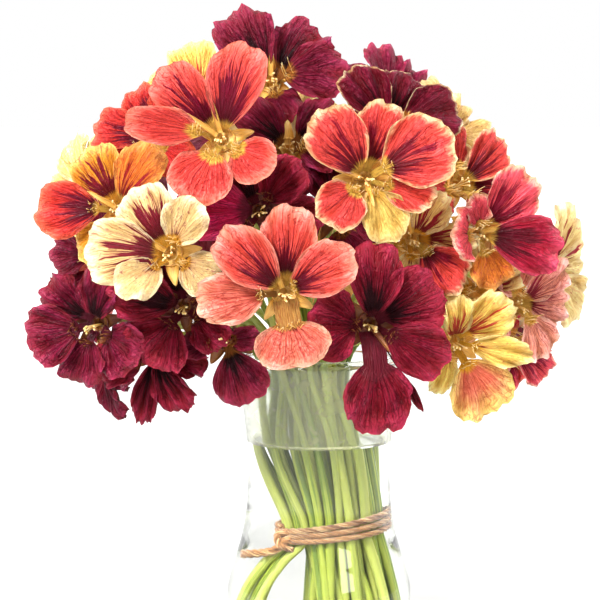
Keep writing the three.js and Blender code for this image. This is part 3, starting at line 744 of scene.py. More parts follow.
GLASS = ClearFinish("glass", "glass", 1.5, "fbfdfb", edge="9aa08e")
MISTED_GLASS = ClearFinish("misted_glass", "glass", 1.5, "f6fbf8", mist=0.12, veil=0.25)
WET_GLASS = ClearFinish("glass_at_the_water", "glass", 1.128, "ffffff")
WATER = ClearFinish("water", "water", 1.333, "ffffff")
BRIGHT_WATER = ClearFinish("water_line", "water", 1.333, "ffffff", mist=0.1, veil=0.4)


# ---------------------------------------------------------------- mesh building

SPAN_STEPS = 24  # points on a curve between two of the points that it goes through
TIP = 0.02  # size of the ring that closes a tube, as a share of the ring before it


def join(*parts: np.ndarray | float) -> np.ndarray:
    """Numbers or arrays of any one shape, set side by side along a new last axis."""
    return np.stack(np.broadcast_arrays(*parts), -1)


def circle(sides: int) -> np.ndarray:
    """Angles spread evenly round a circle."""
    return np.linspace(0, 2 * math.pi, sides, endpoint=False)


def distances(line: np.ndarray) -> np.ndarray:
    """How far along a line each of its points is."""
    return np.concatenate([[0], np.cumsum(np.linalg.norm(np.diff(line, axis=0), axis=1))])


def put(name: str, data: bpy.types.ID) -> bpy.types.Object:
    """Puts a mesh, light or camera in the scene.

    Args:
        name: the new object's name.
        data: what it shows.

    Returns:
        The object.
    """
    item = bpy.data.objects.new(name, data)
    bpy.context.scene.collection.objects.link(item)
    return item


class Shell:
    """Gathers the points and faces of one piece, with the measures that its finish reads at each point."""

    def __init__(self) -> None:
        """Starts with nothing."""
        self.points: list[np.ndarray] = []
        self.faces: list[np.ndarray] = []
        self.slots: list[np.ndarray] = []
        self.place: list[np.ndarray] = []
        self.tint: list[np.ndarray] = []
        self.count = 0

    def add(
        self,
        points: np.ndarray,
        faces: np.ndarray,
        place: np.ndarray,
        tint: np.ndarray | None = None,
        slot: int = 0,
    ) -> None:
        """Adds faces of four corners.

        Args:
            points: where the points are, in millimetres.
            faces: four numbers of points for each face.
            place: across, along and seed at each point.
            tint: mark, under and painted shading at each point.
            slot: which of the piece's materials the faces have.
        """
        points = points.reshape(-1, 3)
        self.points.append(points)
        self.faces.append(faces.reshape(-1, 4) + self.count)
        self.slots.append(np.full(faces.size // 4, slot))
        self.place.append(np.broadcast_to(place.reshape(-1, 3), points.shape))
        self.tint.append(np.zeros_like(points) if tint is None else tint.reshape(-1, 3))
        self.count += len(points)

    def build(self, name: str, finishes: list[Finish]) -> bpy.types.Object:
        """Makes the piece, which rides on the body of the whole part.

        Args:
            name: the piece's name.
            finishes: what its material slots hold, in order.

        Returns:
            The new object.
        """
        mesh = bpy.data.meshes.new(name)
        faces = np.concatenate(self.faces)
        mesh.from_pydata((np.concatenate(self.points) * MM).tolist(), [], faces.tolist())
        mesh.polygons.foreach_set("use_smooth", np.ones(len(faces), bool))
        mesh.polygons.foreach_set("material_index", np.concatenate(self.slots).astype(np.int32))
        for label, values in (("place", self.place), ("tint", self.tint)):
            layer = mesh.attributes.new(label, "FLOAT_VECTOR", "POINT")
            layer.data.foreach_set("vector", np.concatenate(values).astype(np.float32).ravel())
        for finish in finishes:
            mesh.materials.append(dressed(finish))
        mesh.validate()
        piece = put(name, mesh)
        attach(piece, "root")
        LOG.info("%s: %d faces", name, len(faces))
        return piece


def grid_faces(rows: int, columns: int, around: bool = False, flip: bool = False) -> np.ndarray:
    """The faces of a grid of points.

    Args:
        rows: how many rows of points there are.
        columns: how many points each row has.
        around: whether the last point of a row joins its first.
        flip: whether the faces look the other way.

    Returns:
        Four numbers of points for each face.
    """
    index = np.arange(rows * columns).reshape(rows, columns)
    if around:
        index = np.concatenate([index, index[:, :1]], 1)
    corners = [index[:-1, :-1], index[:-1, 1:], index[1:, 1:], index[1:, :-1]]
    return np.stack(corners[::-1] if flip else corners, -1).reshape(-1, 4)


def smooth_line(points: list[Point] | np.ndarray, count: int) -> np.ndarray:
    """A smooth curve through points.

    Args:
        points: what it goes through.
        count: how many points to give back, evenly along it.

    Returns:
        Points on the curve.
    """
    p = np.asarray(points, float)
    p = np.concatenate([[2 * p[0] - p[1]], p, [2 * p[-1] - p[-2]]])
    t = np.linspace(0, 1, SPAN_STEPS)[:, None]
    spans = []
    for a, b, c, d in zip(p, p[1:], p[2:], p[3:]):
        knots = [np.linalg.norm(y - x) ** 0.5 for x, y in ((a, b), (b, c), (c, d))]
        m1 = knots[1] * ((b - a) / knots[0] - (c - a) / (knots[0] + knots[1])) + (c - b)
        m2 = knots[1] * ((d - c) / knots[2] - (d - b) / (knots[1] + knots[2])) + (c - b)
        h = [2 * t**3 - 3 * t**2 + 1, t**3 - 2 * t**2 + t, 3 * t**2 - 2 * t**3, t**3 - t**2]
        spans.append(h[0] * b + h[1] * m1 + h[2] * c + h[3] * m2)
    line = np.concatenate([spans[0], *(s[1:] for s in spans[1:])])
    far = distances(line)
    at = np.linspace(0, far[-1], count)
    return np.stack([np.interp(at, far, line[:, i]) for i in range(line.shape[1])], -1)


def rings_along(line: np.ndarray, radii: np.ndarray, sides: int, turn: float = 0.0) -> np.ndarray:
    """Rings of points round a curve, which don't twist along it.

    Args:
        line: the curve's points.
        radii: the radius at each of them.
        sides: how many points a ring has.
        turn: where the first point of each ring is, in radians.

    Returns:
        A grid of points, one row for each ring.
    """
    ahead = np.gradient(line, axis=0)
    ahead /= np.linalg.norm(ahead, axis=1, keepdims=True)
    side = np.cross(ahead[0], (0, 0, 1) if abs(ahead[0][2]) < 0.9 else (1, 0, 0))
    sides_along = []
    for direction in ahead:
        side = side - direction * (side @ direction)
        side = side / np.linalg.norm(side)
        sides_along.append(side)
    u = np.array(sides_along)
    v = np.cross(ahead, u)
    a = turn + circle(sides)
    ring = np.cos(a)[None, :, None] * u[:, None] + np.sin(a)[None, :, None] * v[:, None]
    return line[:, None] + ring * np.asarray(radii, float)[:, None, None]


def tube(shell: Shell, line: np.ndarray, radii: np.ndarray, sides: int, seed: float, slot: int = 0) -> None:
    """Adds a round tube to a shell, drawn in to a point at both ends.

    Args:
        shell: what takes it.
        line: the points of its centreline.
        radii: its radius at each of them.
        sides: how many sides it has.
        seed: what sets its markings apart.
        slot: which material it has.
    """
    rings = rings_along(line, radii, sides)
    ends = [line[i] + (rings[i] - line[i]) * TIP for i in (0, -1)]
    points = np.concatenate([ends[:1], rings, ends[1:]])
    along = np.concatenate([[0], np.linspace(0, 1, len(line)), [1]])
    around = np.sin(np.linspace(0, math.pi, sides, endpoint=False))
    place = join(around[None], along[:, None], seed)
    shell.add(points, grid_faces(len(points), sides, around=True), place, slot=slot)


def blade(
    shell: Shell,
    middle: np.ndarray,
    thickness: np.ndarray,
    axes: np.ndarray,
    at: np.ndarray,
    place: np.ndarray,
    tint: np.ndarray | None = None,
    slot: int = 0,
) -> None:
    """Adds a thin closed blade round a middle surface.

    Args:
        shell: what takes it.
        middle: a grid of points, in rows.
        thickness: how thick the blade is at each of them.
        axes: the directions that x, y and z take, as rows.
        at: where the middle surface's origin goes.
        place: across, along and seed at each point.
        tint: mark, under and painted shading at each point, with under to be set to 1 on the far face.
        slot: which material it has.
    """
    rows, columns = thickness.shape
    normal = np.cross(np.gradient(middle, axis=0), np.gradient(middle, axis=1))
    normal /= np.linalg.norm(normal, axis=-1, keepdims=True)
    faces = [(middle + normal * (thickness * s / 2)[..., None]) @ axes + at for s in (1, -1)]
    index = np.arange(rows * columns).reshape(rows, columns)
    rim = np.concatenate([index[:, 0], index[-1, 1:-1], index[::-1, -1], index[0, -2:0:-1]])
    after = np.roll(rim, -1)
    back = rows * columns
    quads = [
        grid_faces(rows, columns, flip=True),
        grid_faces(rows, columns) + back,
        join(rim, after, after + back, rim + back),
    ]
    if tint is not None:
        tint = np.stack([tint, tint + np.array([0, 1, 0])])
    shell.add(np.stack(faces), np.concatenate(quads), np.stack([place, place]), tint, slot)


# --------------------------------------------------------------------- petals


class PetalKind(Enum):
    """The two kinds of nasturtium petal, with the outline of each."""

    WIDE = {"claw": 0.1, "half_claw": 1.7, "spread": 35, "shoulder": 0.36, "power": 2.6, "bulge": 0.14}
    CLAWED = {"claw": 0.2, "half_claw": 1.5, "spread": 50, "shoulder": 0.44, "power": 2.5, "bulge": 0.08}


CLAW_RISE = 60  # degrees that a petal stands forward at its base
CLAW_PART = 0.2  # how much of the "part" measure the claw takes, below 0
CLAW_ROWS = 4
RING = 3.0  # radius at which the petals leave the throat
LAYERS = (0, 2, -2, 2, -2, 1)  # how far forward each petal lies, in turn round the bloom
MIDRIB_STEPS = 48  # straight pieces that a petal's midrib is worked out in
EDGE_WAVES = ((0.012, 6.3, 2.1), (0.008, 12.3, 3), (0.005, 19.7, 5))  # height, pitch and shift of each


@dataclass(frozen=True)
class Petal:
    """One petal: a claw that opens into a fan.

    The bearing is clockwise from straight up, seen from in front of the bloom. Open is the angle that the
    blade stands forward of flat, curl rolls its end back, and a fringed petal has hairs on its claw. Where
    claw, half_claw or finish is left out, the petal has its kind's or its bloom's.
    """

    kind: PetalKind
    bearing: float
    length: float
    open: float
    breadth: float = 1.0
    curl: float = 14.0
    cup: float = 0.25
    twist: float = 0.0
    ruffle: float = 0.5
    claw: float | None = None
    half_claw: float | None = None
    finish: PetalFinish | None = None
    mark: float = 1.0
    # painted shading over the whole petal: above 0 lighter, below 0 darker
    tone: float = 0.0
    crumple: float = 1.0
    fringed: bool = False
    columns: int = 30
    rows: int = 20
    thickness: float = 0.42

    @property
    def seed(self) -> float:
        """What sets this petal's outline and markings apart."""
        return math.fmod(self.bearing * 7.3 + self.length * 3.1, 6.2) + 0.1

    def _flat(self, part: np.ndarray, t: np.ndarray) -> tuple[np.ndarray, np.ndarray]:
        """Lays the blade flat.

        Args:
            part: 0 at the claw's neck to 1 at the edge, and below 0 on the claw.
            t: -1 to 1 from side to side.

        Returns:
            The distances along the petal and across it.
        """
        shape = self.kind.value
        claw = (self.claw or shape["claw"]) * self.length
        half_claw = self.half_claw or shape["half_claw"]
        spread = math.radians(shape["spread"])
        neck = half_claw / math.sin(spread)
        fan_at = claw - neck * math.cos(spread)
        waves = 0.02 * np.sin(3.1 * math.pi * t + self.seed)
        for height, pitch, shift in EDGE_WAVES:
            waves = waves + height * self.crumple * np.sin(pitch * math.pi * t + shift * self.seed)
        edge = (self.length - fan_at) * (1 - shape["shoulder"] * np.abs(t) ** shape["power"]) * (1 + waves)
        reach = neck + np.clip(part, 0, 1) * (edge - neck)
        along = fan_at + reach * np.cos(spread * t)
        across = reach * np.sin(spread * t)
        share = np.clip(1 + part / CLAW_PART, 0, 1)  # 0 at the foot of the claw, 1 from its neck on
        along = along * share
        across *= 1 + shape["bulge"] * np.sin(math.pi * np.clip(part, 0, 1) ** 0.8)
        across = across * share + half_claw * t * (1 - share)
        return along, across * self.breadth

    def _slope(self, a: np.ndarray) -> np.ndarray:
        """How far the midrib stands forward, in radians, at a distance along it."""
        x = np.clip(a / self.length, 0, 1)
        return np.radians(self.open + (CLAW_RISE - self.open) * (1 - x) ** 3 - self.curl * x * x)

    def sheet(self, layer: float) -> tuple[np.ndarray, ...]:
        """The middle surface, with x out from the throat, y across and z the way the bloom faces.

        Args:
            layer: how far forward of its neighbours the petal lies.

        Returns:
            A grid of points, and across, along and the painted shade and light of the folds at each of them.
        """
        claw = np.linspace(-CLAW_PART, 0, CLAW_ROWS, endpoint=False)
        parts = np.concatenate([claw, np.linspace(0, 1, self.rows) ** 0.9])
        part, t = np.meshgrid(parts, np.linspace(-1, 1, self.columns), indexing="ij")
        a, b = self._flat(part, t)
        steps = np.linspace(0, self.length, MIDRIB_STEPS + 1)
        slopes = self._slope((steps[1:] + steps[:-1]) / 2)
        width = steps[1]
        out = np.concatenate([[0], np.cumsum(width * np.cos(slopes))])
        rise = np.concatenate([[0], np.cumsum(width * np.sin(slopes))])
        slope = self._slope(a)
        over = np.maximum(a - self.length, 0)
        r = np.interp(a, steps, out) + over * np.cos(slope)
        h = np.interp(a, steps, rise) + over * np.sin(slope)
        turn = math.radians(self.twist) * (a / self.length)
        relief = self._relief(t, np.clip(part, 0, 1))
        # the sides roll forward and the end rolls back
        rolled = 1.1 * np.clip((np.abs(t) - 0.78) / 0.22, 0, 1) ** 2
        rolled -= 1.2 * np.clip((part - 0.84) / 0.16, 0, 1) ** 2
        sag = self.cup * b * b / (0.55 * self.length) + relief + rolled * np.clip(part * 4, 0, 1)
        sag += 1.3 * self.ruffle * np.clip(part, 0, 1) ** 2 * np.sin(2.2 * math.pi * t + 1.7 * self.seed)
        off = sag + b * np.sin(turn) + layer * np.minimum(1, 6 * a / self.length)
        points = join(RING + r - np.sin(slope) * off, b * np.cos(turn), h + np.cos(slope) * off)
        return points, t, part, 0.25 * relief

    def _relief(self, t: np.ndarray, p: np.ndarray) -> np.ndarray:
        """What stands out from the smooth blade: the edge's frill, and folds and pleats along the veins.

        Args:
            t: -1 to 1 from side to side.
            p: 0 at the claw's neck to 1 at the edge.

        Returns:
            How far it stands forward.
        """
        seed = self.seed
        frill = np.sin(4.3 * math.pi * t + 2.3 * seed) + 0.5 * np.sin(8.1 * math.pi * t + 4.1 * seed)
        fold = np.sin(3.3 * math.pi * t + 1.9 * seed + 2.0 * p) * np.sin(2.6 * p + seed)
        dent = np.sin(5.2 * t + 7.5 * p + 3 * seed) * np.sin(6.4 * t - 5.1 * p + seed)
        pleat = np.sin(13 * math.pi * t + 3 * seed + 1.5 * np.sin(5 * p + seed))
        pleat += 0.6 * np.sin(21 * math.pi * t - seed)
        crease = np.maximum(0, 1 - np.abs(t) * 7)
        relief = (0.4 + 0.7 * self.ruffle) * self.crumple * p**3 * frill * (0.4 + 0.6 * t * t)
        relief += (1.1 * fold + 0.6 * dent) * self.crumple * p
        relief += 0.2 * pleat * np.sin(math.pi * np.clip(p * 1.1, 0, 1)) ** 0.7
        return relief - 0.7 * crease * np.sin(math.pi * np.clip(p * 0.9, 0, 1))

    def add_to(self, shell: Shell, layer: float, axes: np.ndarray, at: np.ndarray, slot: int) -> None:
        """Adds the petal to a shell.

        Args:
            shell: what takes it.
            layer: how far forward of its neighbours the petal lies.
            axes: the directions that its x, y and z take, as rows.
            at: the bloom's throat.
            slot: which material it has.
        """
        middle, t, part, relief = self.sheet(layer)
        thin = self.thickness * (1 - 0.55 * np.clip(np.maximum(part, 0) ** 3 + np.abs(t) ** 8 * 0.6, 0, 1))
        place = join(t, part, self.seed)
        # painted shade and light: the petal's own painted shading, with the hollows of its folds darker and
        # their crests lighter
        tint = join(self.mark, 0.0, self.tone + relief)
        blade(shell, middle, thin, axes, at, place, tint, slot)


def wide(bearing: float, length: float, open_: float, **more: object) -> Petal:
    """One of the two upper petals."""
    return Petal(PetalKind.WIDE, bearing, length, open_, **more)


def clawed(bearing: float, length: float, open_: float, **more: object) -> Petal:
    """One of the three lower petals."""
    more = {"mark": 0.35, "fringed": "claw" not in more, **more}
    return Petal(PetalKind.CLAWED, bearing, length, open_, **more)


def five_petals(lean: float, size: float, open_: float, seed: float) -> tuple[Petal, ...]:
    """The petals of a bloom that isn't arranged one by one.

    Args:
        lean: how far clockwise the upper pair leans.
        size: about how long the petals are.
        open_: about how far forward they stand, in degrees.
        seed: what sets the bloom apart.

    Returns:
        Its two upper petals and three lower ones.
    """
    return (
        wide(lean - 28, size * 1.04, open_ + 2 * math.sin(seed)),
        wide(lean + 28, size, open_ + 3 * math.cos(seed)),
        clawed(lean + 96, size, open_ - 4, ruffle=0.8),
        clawed(lean - 96, size * 0.98, open_ - 3 + 2 * math.sin(2 * seed), ruffle=0.8),
        clawed(lean + 178, size * 0.96, open_ - 8, ruffle=0.8),
    )


# --------------------------------------------------------------------- blooms


def axes_of(right: float, up: float) -> np.ndarray:
    """The axes of something that faces so many degrees right of and above the viewer's direction.

    Args:
        right: degrees to the viewer's right.
        up: degrees up.

    Returns:
        Three rows: across to the viewer's right, above, and the way it faces.
    """
    a, e = math.radians(right), math.radians(up)
    facing = np.array([math.sin(a) * math.cos(e), -math.cos(a) * math.cos(e), math.sin(e)])
    above = np.array([-math.sin(a) * math.sin(e), math.cos(a) * math.sin(e), math.cos(e)])
    return np.array([np.cross(above, facing), above, facing])


CUP, THREADS = 0, 1  # the material slots of a bloom's heart
BLOOM_SEED = 700  # of the random draws, with each bloom's number added


@dataclass(frozen=True)
class Bloom:
    """One nasturtium bloom: its petals, and the heart that they spring from."""

    name: str
    at: Point
    face: tuple[float, float]
    lean: float
    finish: PetalFinish
    petals: tuple[Petal, ...]
    sepals: tuple[float, ...] = ()
    calyx: GrownFinish = CALYX
    crumple: float = 1.0
    cup_depth: float = 6.0
    cup_mouth: float = 5.0
    cup_back: float = 3.0
    spur_length: float = 24.0
    sepal_length: float = 10.5
    sepal_width: float = 6.4
    sepal_thickness: float = 0.56
    strip_length: float = 13.0  # of a golden strip that shows between two petals
    strip_width: float = 2.5
    strip_rise: float = 34.0
    stamen_length: float = 9.0
    stamens: int = 6
    hairs: int = 11  # on each fringed petal

    @property
    def axes(self) -> np.ndarray:
        """Across, above and facing, as rows."""
        return axes_of(*self.face)

    def on_bearing(self, bearing: float) -> np.ndarray:
        """The axes of what leaves the throat on a bearing.

        Args:
            bearing: where it points, clockwise from straight up.

        Returns:
            Three rows: out, across and forward.
        """
        across, above, facing = self.axes
        b = math.radians(bearing)
        out = above * math.cos(b) + across * math.sin(b)
        return np.array([out, np.cross(facing, out), facing])

    @property
    def layered(self) -> list[tuple[float, Petal]]:
        """The petals in turn round the bloom, each with how far forward it lies."""
        return list(zip(LAYERS, sorted(self.petals, key=lambda petal: petal.bearing)))

    def _petals(self) -> None:
        """Builds all the petals as one piece."""
        shell = Shell()
        finishes = [self.finish]
        for layer, petal in self.layered:
            finish = petal.finish or self.finish
            if finish not in finishes:
                finishes.append(finish)
            petal = replace(petal, crumple=petal.crumple * self.crumple)
            axes = self.on_bearing(petal.bearing)
            petal.add_to(shell, layer, axes, np.array(self.at), finishes.index(finish))
        piece = shell.build("petals_" + self.name, finishes)
        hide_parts("bloom_" + self.name)

    def _cup_and_spur(self, shell: Shell) -> None:
        """Adds the funnel behind the petals, hollow from the front, and the spur that it narrows into.

        Args:
            shell: what takes them.
        """
        rows, sides = 22, 20
        axes, at = self.on_bearing(self.lean), np.array(self.at)
        depth, mouth, back = self.cup_depth, self.cup_mouth, self.cup_back
        outer = [(back * 0.5, -depth), (back, -depth + 0.6), (mouth * 0.86, -2.4), (mouth, 0.3)]
        inner = [(mouth - 0.5, 0.4), (mouth * 0.74, -2.2), (back * 0.62, -depth + 1.4), (0.1, -depth + 0.9)]
        profile = smooth_line(outer + inner, rows)
        a = circle(sides)
        radius, height = profile[:, :1], profile[:, 1:]
        points = join(radius * np.cos(a), radius * np.sin(a), height)
        place = join(np.sin(a / 2), np.linspace(0, 1, rows)[:, None], 0.0)
        shell.add(points @ axes + at, grid_faces(rows, sides, around=True), place)
        # the spur sweeps back from the upper side and droops to its tip
        k = np.linspace(0, 1, 16)
        top = 1.4 - depth
        droop = 0.6 + 5.6 * k - 9 * k * k
        line = join(droop, 0.6 * np.sin(3 * k), top - (self.spur_length + top) * k)
        tube(shell, line @ axes + at, (back - 0.9) * (1 - k) ** 0.8 + 0.45, 10, self.lean % 7)

    def _sepal(
        self, shell: Shell, bearing: float, rise: float, foot: float, length: float, width: float
    ) -> None:
        """Adds one pointed sepal, or a golden strip that shows between two petals.

        Args:
            shell: what takes it.
            bearing: where it points.
            rise: how far forward it stands, in degrees.
            foot: how far forward of the throat it starts.
            length: its length.
            width: its width at the widest.
        """
        k, t = np.meshgrid(np.linspace(0, 1, 14), np.linspace(-1, 1, 5), indexing="ij")
        half = width / 2 * (1 - k) ** 0.55 * (0.75 + 0.9 * k * (1 - k)) + 0.06
        slope = np.radians(rise + 26 * (1 - k) ** 2 - 12 * k)
        step = length / (len(k) - 1)
        r = 1.6 + np.cumsum(np.cos(slope), 0) * step
        z = foot + np.cumsum(np.sin(slope), 0) * step + 0.35 * t * t * half
        place = join(t, k, bearing % 6)
        middle = join(r, half * t, z)
        thickness = np.full_like(t, self.sepal_thickness)
        blade(shell, middle, thickness, self.on_bearing(bearing), np.array(self.at), place)

    @property
    def gaps(self) -> list[float]:
        """The bearings half-way between neighbouring petals."""
        bearings = sorted(petal.bearing % 360 for petal in self.petals)
        return [(a + b) / 2 for a, b in zip(bearings, [*bearings[1:], bearings[0] + 360])]

    def _stamens(self, shell: Shell, draw: np.random.Generator) -> None:
        """Adds the pistil and the stamens, which end in anthers.

        Args:
            shell: what takes them.
            draw: where their lengths and places come from.
        """
        at = np.array(self.at)
        for i in range(1 + self.stamens):
            bearing = self.lean + 180 + draw.uniform(-95, 95)
            axes = self.on_bearing(bearing)
            k = np.linspace(0, 1, 8)
            length = self.stamen_length * draw.uniform(0.75, 1.1)
            lean = draw.uniform(0.8, 3.0)
            aside = draw.uniform(-0.6, 0.6) * k
            line = join(0.5 + lean * k**2, aside, -3 + (length + 3) * k - lean * k**3)
            tube(shell, line @ axes + at, 0.28 - 0.1 * k, 5, i, THREADS)
            if i > 0:  # the first is the pistil, which has no anther
                head = line[-1] + np.linspace(-0.7, 0.7, 7)[:, None] * np.array([0.8, 0.3, 0.6])
                radii = 0.45 * np.sqrt(np.clip(1 - np.linspace(-0.96, 0.96, 7) ** 2, 0.02, 1))
                tube(shell, head @ axes + at, radii, 6, i + 0.5, THREADS)

    def _fringe(
        self, shell: Shell, petal: Petal, layer: float, draw: np.random.Generator, slot: int
    ) -> None:
        """Adds the hairs that stand on the neck of a lower petal.

        Args:
            shell: what takes them.
            petal: the petal that they grow on.
            layer: how far forward of its neighbours it lies.
            draw: where the lengths and places come from.
            slot: which material they have.
        """
        middle, _, part, _ = petal.sheet(layer)
        axes = self.on_bearing(petal.bearing)
        row = int(np.argmin(np.abs(part[:, 0] - 0.08)))
        for side in np.linspace(0.1, 0.9, self.hairs):
            foot = middle[row + draw.integers(-1, 2), int(side * (petal.columns - 1))]
            k = np.linspace(0, 1, 6)[:, None]
            length = draw.uniform(3.4, 6.6)
            tip = np.array([-0.35 * length, draw.uniform(-0.4, 0.4) * length, length])
            line = foot + tip * k + np.array([0.12 * length, 0, 0]) * k * k
            tube(shell, line @ axes + np.array(self.at), 0.25 - 0.16 * k[:, 0], 4, side, slot)

    def build(self, number: int) -> None:
        """Builds the bloom's two pieces.

        Args:
            number: its place in the table, which seeds its small variations.
        """
        self._petals()
        draw = np.random.default_rng(BLOOM_SEED + number)
        shell = Shell()
        self._cup_and_spur(shell)
        for bearing in self.gaps:
            self._sepal(shell, bearing, 4, -2.2, self.sepal_length, self.sepal_width)
        for bearing in self.sepals:
            self._sepal(shell, bearing, self.strip_rise, 0.6, self.strip_length, self.strip_width)
        self._stamens(shell, draw)
        hair = CUP if self.calyx is CALYX_RED else THREADS
        for layer, petal in self.layered:
            if petal.fringed:
                self._fringe(shell, petal, layer, draw, hair)
        shell.build("heart_" + self.name, [self.calyx, STAMEN])


